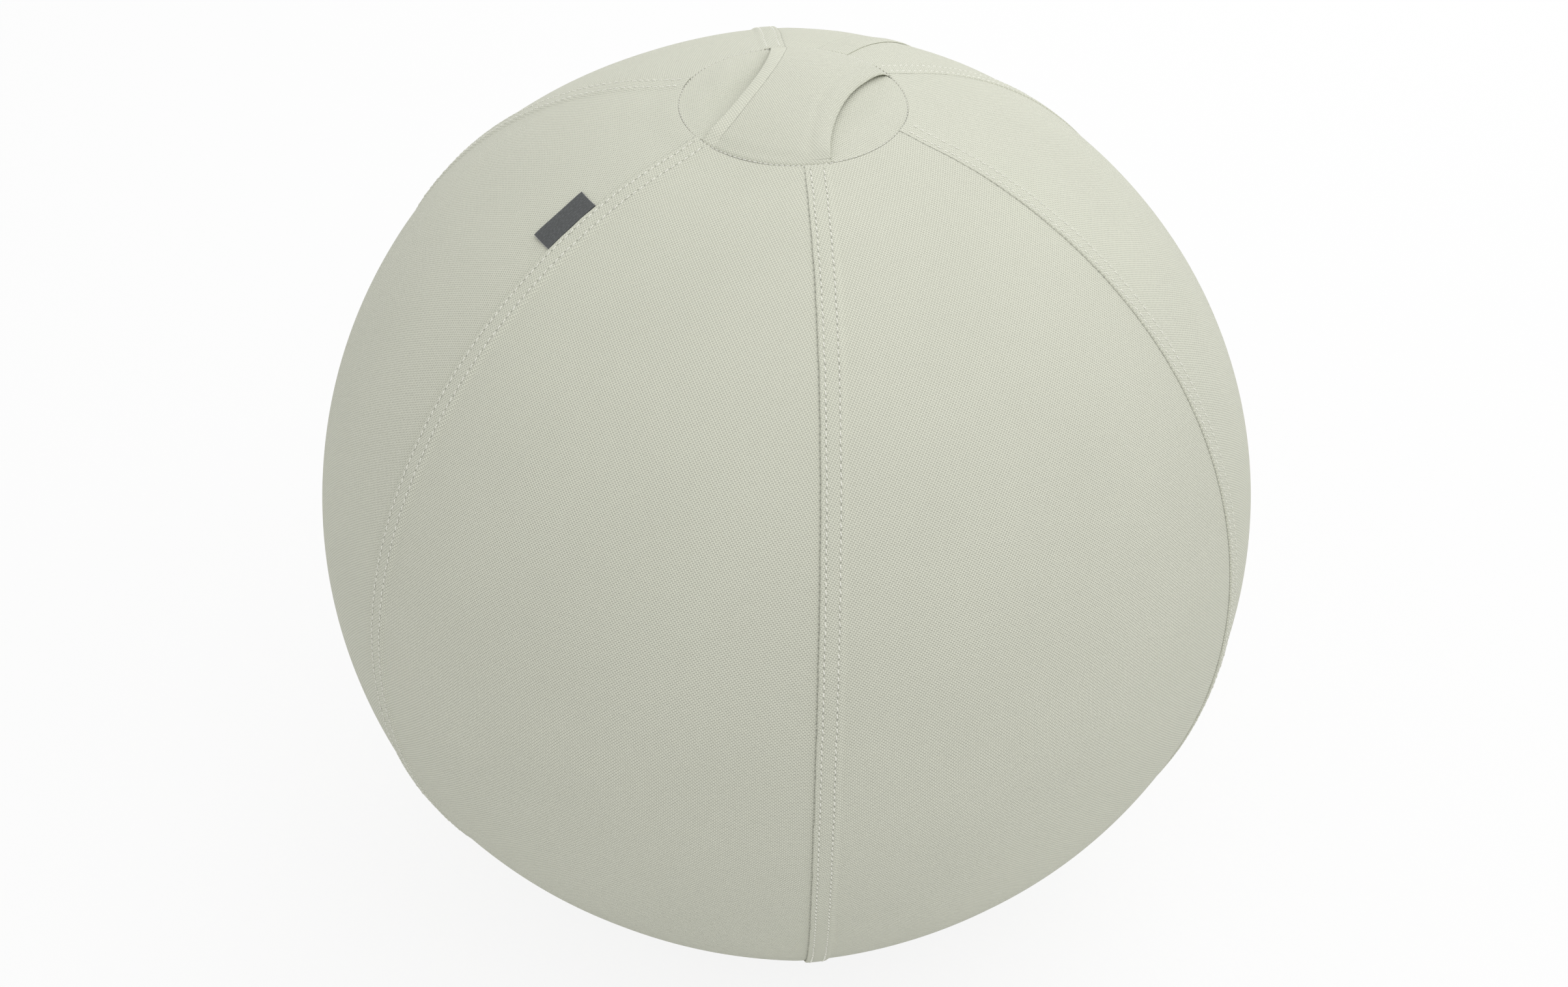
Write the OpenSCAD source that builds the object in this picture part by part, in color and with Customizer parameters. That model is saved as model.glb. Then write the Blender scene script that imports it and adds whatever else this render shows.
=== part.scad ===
// Sitting ball: an inflated ball in a cover of six lapped panels, with a crown cap, a carrying
// strap, a zip under a flap at the back and a weighted foot.
// The ball stands on Z = 0 with its middle on the Z axis. The strap runs near Y and the zip
// faces +Y. Azimuths are counted from -Y towards +X, polar angles from +Z.

/* [Ball] */
// Diameter of the dressed ball, over the middles of two facing panels
ball_d = 646; // [540:2:760]
// Radius of the flat foot that the ball stands on
foot_r = 100; // [85:1:112]
// Radius at which the base panel meets the side panels
base_rim_r = 118; // [114:1:130]
// Thickness of the cover cloth
cloth_t = 1.0; // [0.8:0.05:1.1]

/* [Seams] */
// How far the seams stand out beyond the middles of the panels, at the equator
seam_ridge = 4; // [0:0.5:8]
// Width of the lap, from the ditch to where the outer layer comes down
lap_w = 14; // [10:0.5:16]
// Width of the slope beside the lap
lap_slope = 3; // [2:0.5:4]
// Clearance between layers of cloth
layer_gap = 0.15; // [0.1:0.05:0.2]

/* [Crown] */
// Diameter of the round seam of the crown cap
crown_d = 146; // [130:1:160]
// Height of the finger gap between the cap and the strap
finger_gap = 7; // [6.5:0.5:12]
// Width of the strap at the top of its arch
strap_mid_w = 62; // [50:1:68]
// Width of the strap's folded hems
hem_w = 10; // [7:0.5:12]
// Angle by which the strap is turned from the Y axis
strap_turn = 6; // [0:0.5:9]
// How far the strap lies to the right of the cap's middle
strap_shift = 3.5; // [0:0.5:5]
// Half angle over which each end of the strap goes into the crown seam
strap_end_deg = 35; // [28:1:37]
// Depth that the strap's ends and the cap's rim reach into the crown seam
tuck = 2.6; // [2:0.1:2.8]

/* [Label] */
// Length of the woven label along its seam
label_l = 40; // [30:1:50]
// Width of the woven label
label_w = 19; // [14:1:24]
// Thickness of the folded label
label_t = 0.8; // [0.5:0.05:1]
// Polar angle of the middle of the label
label_polar = 30.5; // [24:0.5:50]

/* [Zip] */
// How far the zip lies to the right of the middle of its panel, where the flap's free edge is
zip_x = -3; // [-4:0.5:0]
// Polar angle of the upper end of the slider's travel
zip_top_polar = 24; // [22:0.5:30]
// Polar angle of the parked slider's upper end
zip_low_polar = 114; // [100:0.5:116]
// Half width of the two rows of teeth
chain_half_w = 3; // [2.6:0.1:3.2]
// Height of the teeth over the tape
teeth_h = 1.95; // [1.7:0.05:2.1]
// Pitch of the teeth of one row
tooth_pitch = 3.6; // [3:0.2:6]
// Thickness of the zip tape
tape_t = 0.6; // [0.4:0.05:0.7]
// Width of the tape beyond the folded edge of the cloth on either side
tape_under = 5; // [4:0.5:5]
// Length of the slider
slider_l = 15; // [12:0.5:18]
// Length of the pull tab, from its pivot
pull_l = 25; // [20:0.5:30]

/* [Inside] */
// Wall of the inner ball
bladder_wall = 1; // [0.8:0.1:2]
// Polar angle of the inner ball's valve
valve_polar = 80; // [60:1:100]
// Radius of the valve's bore
valve_bore_r = 4.4; // [3.5:0.1:5]
// Thickness of the weight pad
pad_h = 11; // [8:0.5:16]
// Number of pockets in the weight pad
pad_pockets = 6; // [5:1:8]

/* [Hidden] */
$fn = 96;
ink = "#4b4e4d";
sage = "#bdbdaf";

// The cover
gore_r = ball_d / 2;
gore_inner_r = gore_r - cloth_t;
centre_z = sqrt(gore_r * gore_r - foot_r * foot_r);
gore_count = 6;
gore_deg = 360 / gore_count;
half_gore = gore_deg / 2;
crown_steps = 6;
half_crown_steps = 4;

// Each seam wanders a little off its meridian, as sewn seams do: the cosine and sine parts, in degrees
sway_cos = [1.1, 0, 0, 0, 0, 0];
sway_sin = [0, 2, 0, 0, 0, 0];

// Room between the flat faces of the panels and the round inner ball
facet_room = 0.0046 * gore_r + layer_gap;
bladder_r = gore_inner_r - facet_room;

// Layers of a lapped seam, as heights over the inside face of the panel
lap_low = cloth_t + layer_gap;
lap_high = lap_low + 2 * cloth_t;
tongue_w = lap_w - 0.5;
tongue_room = 0.3;
inner_slope = 1.2;

// The crown seam is a ditch that the strap's ends go into
strap_clear = 0.3;
crown_seam_r = crown_d / 2;
ditch_half = cloth_t / 2 + strap_clear;
cap_r = gore_r + cloth_t;
rim_z = centre_z + sqrt(cap_r * cap_r - crown_seam_r * crown_seam_r);
crown_polar = asin((crown_seam_r + ditch_half) / gore_inner_r);
base_gap = 0.4;
base_polar = 180 - asin((base_rim_r + base_gap) / gore_inner_r);

// The zip lies on a circle round the ball's X axis, in the plane X = zip_x
zip_az = 180;
lift_gain = 1.3;
web_half = 0.2;
run_gap = 0.2;
slit_half = web_half + run_gap;
tape_drop = 0.85;
plate_t = 0.9;
plate_low_gap = 0.25;
slider_room = 0.3;
slider_deg = slider_l / gore_r * 180 / PI;
// The zip's panel is lifted just enough for the slider's lower plate to clear the inner ball
zip_stack = cloth_t + tape_drop + tape_t + plate_low_gap + plate_t;
zip_raise = bladder_r + slider_room + zip_stack - gore_r;
zip_gore_r = gore_r + zip_raise;
tape_r1 = zip_gore_r - cloth_t - tape_drop;
tape_r0 = tape_r1 - tape_t;
teeth_r0 = tape_r1 + 0.05;
teeth_r1 = teeth_r0 + teeth_h;
top_plate_r0 = teeth_r1 + plate_low_gap;
top_plate_r1 = top_plate_r0 + plate_t;
slider_half_w = chain_half_w + 1.4;
flange_t = 0.9;
near_fold = slider_half_w + 0.6;
far_fold = slider_half_w + 5.1;
flap_over = near_fold + 1.4;
edge_step = 5;

// Below the zip the left half laps over the right half, in three steps
slider_low_polar = zip_low_polar + slider_deg;
zip_stop_polar = slider_low_polar + 0.3;
stop_deg = 0.7;
tape_low_polar = zip_stop_polar + 2 * stop_deg;
lap_rise_polar = tape_low_polar - 0.3;
lap_over_polar = lap_rise_polar + 0.6;
closed_polar = lap_over_polar + 0.8;
low_under = 6;
low_over = flap_over;
low_ramp = 1.5;

// Polar angles at which the panels' sections stand
upper_steps = 24;
lower_steps = 7;
upper_stations = [for (i = [0:upper_steps])
    crown_polar + (lap_rise_polar - crown_polar) * i / upper_steps];
lower_stations = [for (i = [0:lower_steps])
    closed_polar + (base_polar - closed_polar) * i / lower_steps];
stations = concat(upper_stations, [lap_over_polar], lower_stations);

// Sections of the panels

// Azimuth of the seam on the right of panel k, at a polar angle
function seam_az(k, pol) =
    let (i = (k + gore_count) % gore_count)
    gore_deg * k + half_gore + sway_cos[i] * cos(2 * pol) + sway_sin[i] * sin(2 * pol);

// Degrees of azimuth to a millimetre of cloth
function deg_per_mm(pol) = 180 / (PI * gore_r * sin(pol));

// Angle to the nearest seam, from 0 at a seam to 1 at the middle of a panel
function seam_share(az, pol) =
    min(1, min([for (k = [-1:gore_count]) abs(az - seam_az(k, pol))]) / half_gore);

// The lift of the zip's panel at an azimuth
function zip_lift(az) = abs(az - zip_az) < half_gore
    ? zip_raise * min(1, lift_gain * cos(90 * (az - zip_az) / half_gore)) : 0;

// A point of the cover at height h over the inside face
function cover_point(az, pol, h) =
    let (share = seam_share(az, pol),
         r = gore_inner_r + seam_ridge * sqrt(sin(pol)) * pow(1 - share, 2) + zip_lift(az) + h)
    [r * sin(pol) * sin(az), -r * sin(pol) * cos(az), centre_z + r * cos(pol)];

function mix(a, b, f) = a + (b - a) * f;

// Outer and inner [azimuth, height] chains of the folded left edge, over the neighbour's tongue
function fold_out(az, d) = [[az, lap_high], [az + lap_w * d, lap_high],
    [az + (lap_w + lap_slope) * d, cloth_t]];
function fold_in(az, d) = [[az, lap_low], [az + (tongue_w + tongue_room) * d, lap_low],
    [az + (lap_w + inner_slope) * d, 0]];

// The plain cloth between two azimuths, without its first point
function plain(a, b, n, h) = [for (i = [1:n]) [mix(a, b, i / n), h]];

// The tongue that reaches under the next panel
function tongue(az, d, h) = [[az + tongue_w * d, h]];

function gore_chain(k, pol, outer) =
    let (d = deg_per_mm(pol), a = seam_az(k - 1, pol), b = seam_az(k, pol),
         start = a + (lap_w + lap_slope) * d, h = outer ? cloth_t : 0)
    concat(outer ? fold_out(a, d) : fold_in(a, d), plain(start, b, crown_steps, h), tongue(b, d, h));

// How far the lower lap has risen and closed at a polar angle
function risen(pol) = pol > lap_rise_polar + 0.01 ? 1 : 0;
function closed(pol) = pol > lap_over_polar + 0.01 ? 1 : 0;

// Azimuth at a distance from the middle of the zip, along the parallel
function off_zip(x, d) = zip_az - (zip_x + x) * d;

function right_half_chain(pol, outer) =
    let (d = deg_per_mm(pol), a = seam_az(2, pol), h = outer ? cloth_t : 0,
         start = a + (lap_w + lap_slope) * d, fold = mix(near_fold, -low_under, closed(pol)))
    concat(outer ? fold_out(a, d) : fold_in(a, d),
        plain(start, off_zip(near_fold + edge_step, d), half_crown_steps, h), [[off_zip(fold, d), h]]);

function left_half_chain(pol, outer) =
    let (d = deg_per_mm(pol), b = seam_az(3, pol), h = outer ? cloth_t : 0,
         up = risen(pol) * lap_low, shut = closed(pol), start = off_zip(-far_fold - edge_step, d),
         knee = mix(far_fold + low_ramp, low_under + low_ramp + (outer ? 1 : 0), shut),
         edge = mix(far_fold, -low_over, shut))
    concat([[off_zip(-edge, d), h + up], [off_zip(-knee, d), h + up], [start, h]],
        plain(start, b, half_crown_steps, h), tongue(b, d, h));

// A solid between two grids of points, each a list of rows of equal length
module skin(outer, inner) {
    rows = len(outer);
    n = len(outer[0]);
    ring = 2 * n;
    points = [for (j = [0:rows - 1]) each concat(outer[j], [for (i = [n - 1:-1:0]) inner[j][i]])];
    sides = [for (j = [0:rows - 2], i = [0:ring - 1])
        let (a = j * ring + i, b = j * ring + (i + 1) % ring)
        each [[a, b, b + ring], [a, b + ring, a + ring]]];
    ends = [for (i = [0:n - 2])
        let (a = i, b = i + 1, c = ring - 2 - i, e = ring - 1 - i, z = (rows - 1) * ring)
        each [[a, c, b], [a, e, c], [a + z, b + z, c + z], [a + z, c + z, e + z]]];
    polyhedron(points = points, faces = concat(sides, ends), convexity = 8);
}

function place(chain, pol) = [for (p = chain) cover_point(p[0], pol, p[1])];

module gore(k) {
    skin([for (pol = stations) place(gore_chain(k, pol, true), pol)],
        [for (pol = stations) place(gore_chain(k, pol, false), pol)]);
}

// A profile drawn as [radius, x from the zip], swept round the ball's X axis between polar angles
module round_x(from, to) {
    translate([zip_x, 0, centre_z]) rotate([0, -90, 0]) rotate([0, 0, from])
        rotate_extrude(angle = to - from, $fn = 360) mirror([0, 1]) children();
}

module band(r0, r1, x0, x1) {
    translate([r0, x0]) square([r1 - r0, x1 - x0]);
}

module gore_front() {
    color(sage) gore(0);
}

module gore_front_right() {
    color(sage) gore(1);
}

module gore_back_right() {
    color(sage) gore(2);
}

module gore_back_left() {
    color(sage) gore(4);
}

module gore_front_left() {
    color(sage) gore(5);
}

module gore_zip_right() {
    color(sage) skin([for (pol = stations) place(right_half_chain(pol, true), pol)],
        [for (pol = stations) place(right_half_chain(pol, false), pol)]);
}

module gore_zip_left() {
    color(sage) skin([for (pol = stations) place(left_half_chain(pol, true), pol)],
        [for (pol = stations) place(left_half_chain(pol, false), pol)]);
}

// The cap is a dome with a short rim turned down into the seam
cap_edge_r = crown_seam_r - ditch_half;
rim_overlap = 0.3;

module crown_cap() {
    rim_top = sqrt(cap_r * cap_r - cap_edge_r * cap_edge_r);
    color(sage) translate([0, 0, centre_z]) rotate_extrude($fn = 360) {
        intersection() {
            difference() {
                circle(r = cap_r, $fn = 720);
                circle(r = cap_r - cloth_t, $fn = 720);
            }
            square([cap_edge_r, cap_r + 1]);
        }
        translate([cap_edge_r - cloth_t, rim_top - tuck]) square([cloth_t, tuck - rim_overlap]);
    }
}

// The strap: rows of points from the back seam over the cap to the front seam
strap_end_half = crown_seam_r * sin(strap_end_deg);
strap_mid_half = strap_mid_w / 2;
strap_low = 0.35;
bend_in = 0.9;
bend_z = 1.1;
bend_tilt = 50;
turn_z = 0.2;
inner_shares = [-0.47, -0.235, 0, 0.235, 0.47];
lying = [0.93, 0.8, 0.62, 0.42, 0.21, 0, -0.21, -0.42, -0.62, -0.8, -0.93];
hem_step = 0.6;

function strap_half(s) = mix(strap_mid_half, strap_end_half, s * s);
function strap_shares(s) =
    let (a = 1 - hem_w / strap_half(s), b = a - hem_step / strap_half(s))
    concat([-1, -a, -b], inner_shares, [b, a, 1]);
function hem_here(i, n) = i < 2 || i > n - 3 ? 1 : 0;
function unit(v) = v / norm(v);

// Middle of the cloth and its outward direction, for a row that lies over the cap
function over_cap(s, f) =
    let (x = strap_shift + f * strap_half(s), y = s * sqrt(pow(crown_seam_r, 2) - x * x),
         z = sqrt(cap_r * cap_r - x * x - y * y),
         lift = strap_low + finger_gap * (1 - s * s) + cloth_t / 2 + cloth_t * min(1, 8 * (1 - s * s)))
    [[x, y, centre_z + z + lift], unit([x, y, z])];

// The same where the strap turns down at radius r, at height z, with its face tilted by a
function turned_down(side, f, r, z, a) =
    let (x = (strap_shift + f * strap_end_half) * r / crown_seam_r, y = side * sqrt(r * r - x * x))
    [[x, y, z], [x / r * cos(a), y / r * cos(a), sin(a)]];

function strap_rows() = concat(
    [for (row = [[crown_seam_r, rim_z - tuck, 0], [crown_seam_r, rim_z + turn_z, 0],
        [crown_seam_r - bend_in, rim_z + bend_z, bend_tilt]])
        [for (f = strap_shares(1)) turned_down(1, f, row[0], row[1], row[2])]],
    [for (s = lying) [for (f = strap_shares(s)) over_cap(s, f)]],
    [for (row = [[crown_seam_r - bend_in, rim_z + bend_z, bend_tilt], [crown_seam_r, rim_z + turn_z, 0],
        [crown_seam_r, rim_z - tuck, 0]])
        [for (f = strap_shares(1)) turned_down(-1, f, row[0], row[1], row[2])]]);

module handle_strap() {
    rows = strap_rows();
    last = len(rows) - 1;
    n = len(rows[0]);
    color(sage) rotate(strap_turn) skin(
        [for (j = [0:last]) [for (p = rows[j]) p[0] + p[1] * cloth_t / 2]],
        [for (j = [0:last]) [for (i = [0:n - 1])
            let (double = j > 2 && j < last - 2 ? hem_here(i, n) : 0)
            rows[j][i][0] - rows[j][i][1] * cloth_t * (0.5 + double)]]);
}

// The label lies on the panel to the left of the seam and ends in its ditch
label_rows = 4;
label_cols = 3;

module loop_label() {
    half = label_l / 2 * 180 / (PI * gore_r);
    rows = [for (j = [0:label_rows]) label_polar - half + 2 * half * j / label_rows];
    low = cloth_t + layer_gap;
    function at(pol, h) = [for (i = [0:label_cols])
        cover_point(seam_az(-1, pol) - (layer_gap + label_w * (1 - i / label_cols)) * deg_per_mm(pol),
            pol, h)];
    color(ink) skin([for (pol = rows) at(pol, low + label_t)], [for (pol = rows) at(pol, low)]);
}

// The foot: a dished panel, a weight pad on it, and a lining over the pad
panel_t = 1.5;
seat_gap = 0.3;
lining_t = 0.6;
pad_z0 = panel_t + seat_gap;
pad_z1 = pad_z0 + pad_h;
lining_z1 = pad_z1 + seat_gap + lining_t;
bladder_z0 = lining_z1 + seat_gap;
pad_r = foot_r - 2;
pad_hole_r = 18;
pocket_gap_deg = 5;
lining_r = foot_r + 1;
lining_foot_r = base_rim_r - 5;

module base_panel() {
    color("dimgray") translate([0, 0, centre_z]) rotate_extrude($fn = 360) difference() {
        intersection() {
            circle(r = gore_r, $fn = 720);
            translate([0, -centre_z]) square([base_rim_r, centre_z / 2]);
        }
        intersection() {
            circle(r = gore_r - panel_t, $fn = 720);
            translate([-1, panel_t - centre_z]) square([base_rim_r + 2, centre_z]);
        }
    }
}

// One pocket is a sector with a rounded, pillow-like section
module pocket_profile() {
    round_r = pad_h / 2 - 0.5;
    hull() for (r = [pad_hole_r + round_r, pad_r - round_r])
        translate([r, pad_h / 2]) circle(r = round_r, $fn = 32);
}

module ballast_pad() {
    color("tan") for (i = [0:pad_pockets - 1])
        translate([0, 0, pad_z0 - 0.5]) rotate([0, 0, 360 / pad_pockets * i])
            rotate_extrude(angle = 360 / pad_pockets - pocket_gap_deg, $fn = 360) pocket_profile();
}

module base_lining() {
    low = centre_z - sqrt(pow(gore_r - panel_t, 2) - lining_foot_r * lining_foot_r) + seat_gap;
    color("gainsboro") rotate_extrude($fn = 360) polygon([[0, lining_z1 - lining_t],
        [lining_r, lining_z1 - lining_t], [lining_foot_r - 1, low], [lining_foot_r, low],
        [lining_r + 1, lining_z1], [0, lining_z1]]);
}

// The inner ball, flat over the pad, with a moulded valve seat
seat_r = 12;
seat_depth = 6;
plug_head_r = 8.5;
plug_head_t = 1.2;
head_drop = 0.3;
plug_gap = 0.05;
plug_l = 16;

module at_valve() {
    translate([0, 0, centre_z]) rotate([-valve_polar, 0, 0]) children();
}

module ball_profile(r, z0) {
    intersection() {
        circle(r = r, $fn = 720);
        translate([0, z0 - centre_z]) square([r + 1, 2 * r]);
    }
}

module bladder() {
    color("slategray") difference() {
        union() {
            translate([0, 0, centre_z]) rotate_extrude($fn = 360) difference() {
                ball_profile(bladder_r, bladder_z0);
                ball_profile(bladder_r - bladder_wall, bladder_z0 + bladder_wall);
            }
            at_valve() translate([0, 0, bladder_r - bladder_wall - seat_depth])
                cylinder(h = seat_depth + bladder_wall / 2, r = seat_r);
        }
        at_valve() {
            translate([0, 0, bladder_r - plug_head_t - head_drop])
                cylinder(h = plug_head_t + head_drop + 1, r = plug_head_r + run_gap);
            translate([0, 0, bladder_r - seat_depth - bladder_wall - 1])
                cylinder(h = seat_depth + 3, r = valve_bore_r);
        }
    }
}

module valve_plug() {
    color("whitesmoke") at_valve() translate([0, 0, bladder_r - head_drop]) {
        translate([0, 0, plug_gap - plug_head_t]) cylinder(h = plug_head_t, r = plug_head_r);
        translate([0, 0, -plug_l]) cylinder(h = plug_l - plug_head_t / 2, r = valve_bore_r - plug_gap);
        translate([0, 0, -plug_l - 3])
            cylinder(h = 3, r1 = valve_bore_r - 1.5, r2 = valve_bore_r - plug_gap, $fn = 48);
    }
}

// The zip: two tapes, two rows of teeth, stops, a flap, a slider and its pull
tape_top_polar = crown_polar + 1.2;
teeth_top_polar = zip_top_polar - 0.3;
stop_h = 1.6;

// How far the outer edge of the left tape dips to follow the panel over it
far_dip = 0.3;

module tape_band(x0, x1, dip) {
    polygon([[tape_r0, x0], [tape_r1, x0], [tape_r1, near_fold], [tape_r1 - dip, x1],
        [tape_r0 - dip, x1], [tape_r0, near_fold]]);
}

module zip_tape_right() {
    color("silver") round_x(tape_top_polar, tape_low_polar)
        tape_band(slit_half, near_fold + tape_under, 0);
}

module zip_tape_left() {
    color("silver") round_x(tape_top_polar, tape_low_polar)
        mirror([0, 1]) tape_band(slit_half, far_fold + tape_under, far_dip);
}

// One row of moulded teeth on the low rib that holds them to the tape, drawn as it lies round the
// ball's X axis; the two rows stand half a pitch apart
rib_h = 0.45;
tooth_share = 0.5;
tooth_taper = 0.06;

function round_at(r, a) = r * [sin(a), cos(a)];

module teeth(side) {
    pitch = tooth_pitch * 180 / (PI * teeth_r0);
    first = teeth_top_polar;
    last = zip_stop_polar - 0.1;
    count = floor((last - first) / pitch - 1);
    root_r = teeth_r0 + rib_h;
    shift = side > 0 ? 0 : pitch / 2;
    crest = [for (i = [0:count - 1])
        let (a = first + shift + pitch * (i + 0.25), b = a + pitch * tooth_share, t = pitch * tooth_taper)
        each [round_at(root_r, a), round_at(teeth_r1, a + t), round_at(teeth_r1, b - t),
            round_at(root_r, b)]];
    foot_steps = 60;
    foot = [for (i = [foot_steps:-1:0]) round_at(teeth_r0, mix(first, last, i / foot_steps))];
    translate([zip_x + (side > 0 ? slit_half : -chain_half_w), 0, centre_z]) rotate([90, 0, 90])
        linear_extrude(chain_half_w - slit_half)
            polygon(concat([round_at(root_r, first)], crest, [round_at(root_r, last)], foot));
}

module zip_teeth_right() {
    color("lightgray") teeth(1);
}

module zip_teeth_left() {
    color("lightgray") teeth(-1);
}

module zip_top_stops() {
    color("silver") for (x0 = [slit_half, -chain_half_w])
        round_x(teeth_top_polar - 1.2 * stop_deg, teeth_top_polar - 0.1)
            band(teeth_r0, teeth_r0 + stop_h, x0, x0 + chain_half_w - slit_half);
}

module zip_bottom_stop() {
    color("silver") round_x(zip_stop_polar, zip_stop_polar + stop_deg)
        band(teeth_r0, teeth_r0 + stop_h, -chain_half_w, chain_half_w);
}

// The flap stands over the closed teeth and ends in a folded free edge
flap_top_polar = crown_polar + 0.3;
flap_low_polar = zip_low_polar - 0.7;

module zip_flap() {
    top = top_plate_r0;
    color(sage) round_x(flap_top_polar, flap_low_polar) polygon([
        [zip_gore_r, run_gap - far_fold], [top + 0.6 * cloth_t, -slider_half_w - 1.6],
        [top + cloth_t, 0.4 - slider_half_w], [top + cloth_t, slider_half_w - 0.4],
        [zip_gore_r + 2 * cloth_t, flap_over - 0.4], [zip_gore_r + 1.6 * cloth_t, flap_over],
        [zip_gore_r + layer_gap, flap_over], [zip_gore_r + layer_gap, slider_half_w],
        [top, chain_half_w + 0.4], [top, -chain_half_w - 0.4],
        [zip_gore_r - 0.2 * cloth_t, -slider_half_w - 2], [zip_gore_r - cloth_t, run_gap - far_fold]]);
}

// The slider: two plates and a web between them, side flanges and a bridge for the pull
bridge_half_w = 1.1;
bridge_t = 0.9;
pivot_r = 0.8;
bridge_room = 0.3;
bridge_r0 = top_plate_r1 + 2 * (pivot_r + bridge_room);
foot_deg = 2 * 180 / (PI * gore_r);
web_deg = 5 * 180 / (PI * gore_r);
pivot_polar = zip_low_polar + slider_deg / 2;
pivot_at = top_plate_r1 + pivot_r + bridge_room;
weld = 0.1;

module zip_slider() {
    a = zip_low_polar;
    b = slider_low_polar;
    low_plate_r1 = tape_r0 - plate_low_gap;
    color("darkgray") {
        round_x(a, b) {
            band(low_plate_r1 - plate_t, low_plate_r1, -slider_half_w, slider_half_w);
            band(top_plate_r0, top_plate_r1, -slider_half_w, slider_half_w);
            for (x0 = [-slider_half_w, slider_half_w - flange_t])
                band(tape_r1 + plate_low_gap, top_plate_r0 + weld, x0, x0 + flange_t);
        }
        round_x(a, a + web_deg)
            band(low_plate_r1 - weld, top_plate_r0 + weld, -web_half, web_half);
        round_x(a, b) band(bridge_r0, bridge_r0 + bridge_t, -bridge_half_w, bridge_half_w);
        for (p = [a, b - foot_deg]) round_x(p, p + foot_deg)
            band(top_plate_r1 - weld, bridge_r0 + weld, -bridge_half_w, bridge_half_w);
    }
}

// The pull hangs straight down from its pivot, which runs under the slider's bridge
arm_x0 = bridge_half_w + 1;
arm_w = 1.3;
pull_t = 1.3;
pull_tip_r = 3;
eye_l = 8;

module zip_pull() {
    half = arm_x0 + arm_w;
    color("darkgray")
        translate([zip_x, pivot_at * sin(pivot_polar), centre_z + pivot_at * cos(pivot_polar)]) {
        rotate([0, 90, 0]) translate([0, 0, -half]) cylinder(h = 2 * half, r = pivot_r, $fn = 32);
        for (x0 = [-half, arm_x0])
            translate([x0, -pull_t / 2, -eye_l]) cube([arm_w, pull_t, eye_l]);
        rotate([90, 0, 0]) translate([0, 0, -pull_t / 2]) linear_extrude(pull_t) difference() {
            union() {
                translate([-half, pull_tip_r - pull_l])
                    square([2 * half, pull_l - pull_tip_r - eye_l + weld]);
                translate([pull_tip_r - half, -pull_l]) square([2 * (half - pull_tip_r), pull_tip_r + weld]);
                for (x = [pull_tip_r - half, half - pull_tip_r])
                    translate([x, pull_tip_r - pull_l]) circle(r = pull_tip_r, $fn = 48);
            }
            translate([0, pull_tip_r + 1.5 - pull_l]) circle(r = 1.4, $fn = 32);
        }
    }
}

gore_front();
gore_front_right();
gore_back_right();
gore_zip_right();
gore_zip_left();
gore_back_left();
gore_front_left();
crown_cap();
handle_strap();
loop_label();
base_panel();
ballast_pad();
base_lining();
bladder();
valve_plug();
zip_tape_right();
zip_tape_left();
zip_teeth_right();
zip_teeth_left();
zip_top_stops();
zip_bottom_stop();
zip_flap();
zip_slider();
zip_pull();
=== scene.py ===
"""Sitting ball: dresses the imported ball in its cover, seams, strap, label, zip, foot and inner ball.

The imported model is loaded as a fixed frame. One operator builds each piece, or group of like
pieces, in metres in the frame's own coordinates: the ball stands on Z = 0 with its middle on the
Z axis, azimuths run from -Y towards +X and polar angles from +Z.
"""

import math

import bpy
import numpy as np
from bpy.props import FloatProperty, FloatVectorProperty, IntProperty, PointerProperty
from bpy.types import Operator, Panel, PropertyGroup
from mathutils import Matrix, Vector


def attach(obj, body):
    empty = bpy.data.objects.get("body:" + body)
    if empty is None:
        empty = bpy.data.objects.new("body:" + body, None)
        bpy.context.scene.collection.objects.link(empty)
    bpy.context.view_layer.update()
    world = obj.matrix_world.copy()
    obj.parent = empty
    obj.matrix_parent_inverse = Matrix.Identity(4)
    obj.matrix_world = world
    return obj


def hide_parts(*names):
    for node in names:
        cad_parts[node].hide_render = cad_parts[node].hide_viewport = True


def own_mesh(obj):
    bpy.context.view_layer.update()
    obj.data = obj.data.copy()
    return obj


bl_info = {
    "name": "Sitting Ball",
    "version": (1, 0, 0),
    "blender": (4, 5, 0),
    "location": "View3D > Sidebar > Sitting Ball",
    "description": "Builds the cover, strap, label, zip, foot and inner ball of a sitting ball",
    "category": "Object",
}

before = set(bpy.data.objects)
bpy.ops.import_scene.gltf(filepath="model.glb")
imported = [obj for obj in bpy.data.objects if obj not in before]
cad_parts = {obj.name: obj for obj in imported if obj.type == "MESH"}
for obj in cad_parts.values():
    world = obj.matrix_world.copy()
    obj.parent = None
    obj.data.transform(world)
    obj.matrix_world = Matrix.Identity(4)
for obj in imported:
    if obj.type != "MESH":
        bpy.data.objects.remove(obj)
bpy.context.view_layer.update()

MM = 0.001

# The cover, as the frame has it
GORE_R = 323 * MM
CLOTH_T = 1 * MM
GORE_IN_R = GORE_R - CLOTH_T
FOOT_R = 100 * MM
CENTRE_Z = math.sqrt(GORE_R * GORE_R - FOOT_R * FOOT_R)
GORES = 6
GORE_ARC = 2 * math.pi / GORES
HALF_ARC = GORE_ARC / 2
SWAY_COS = [math.radians(v) for v in (1.1, 0, 0, 0, 0, 0)]
SWAY_SIN = [math.radians(v) for v in (0, 2, 0, 0, 0, 0)]
LAP_LOW = 1.15 * MM
LAP_PRESSED = 1.42 * MM
LAP_FALL = 3.8 * MM
LAP_ROUND = 1.25 * MM
ROW_DENT = 0.85 * MM
TONGUE_W = 13.5 * MM
FOLD_ROUND = 0.8 * MM
FOLD_DEPTH = 0.9 * MM
SEWN_T = 0.65 * MM
SEWN_ROUND = 0.5 * MM
CROWN_SEAM_R = 73 * MM
CROWN_POLAR = math.asin((CROWN_SEAM_R + 0.8 * MM) / GORE_IN_R)
BASE_RIM_R = 118 * MM
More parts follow.
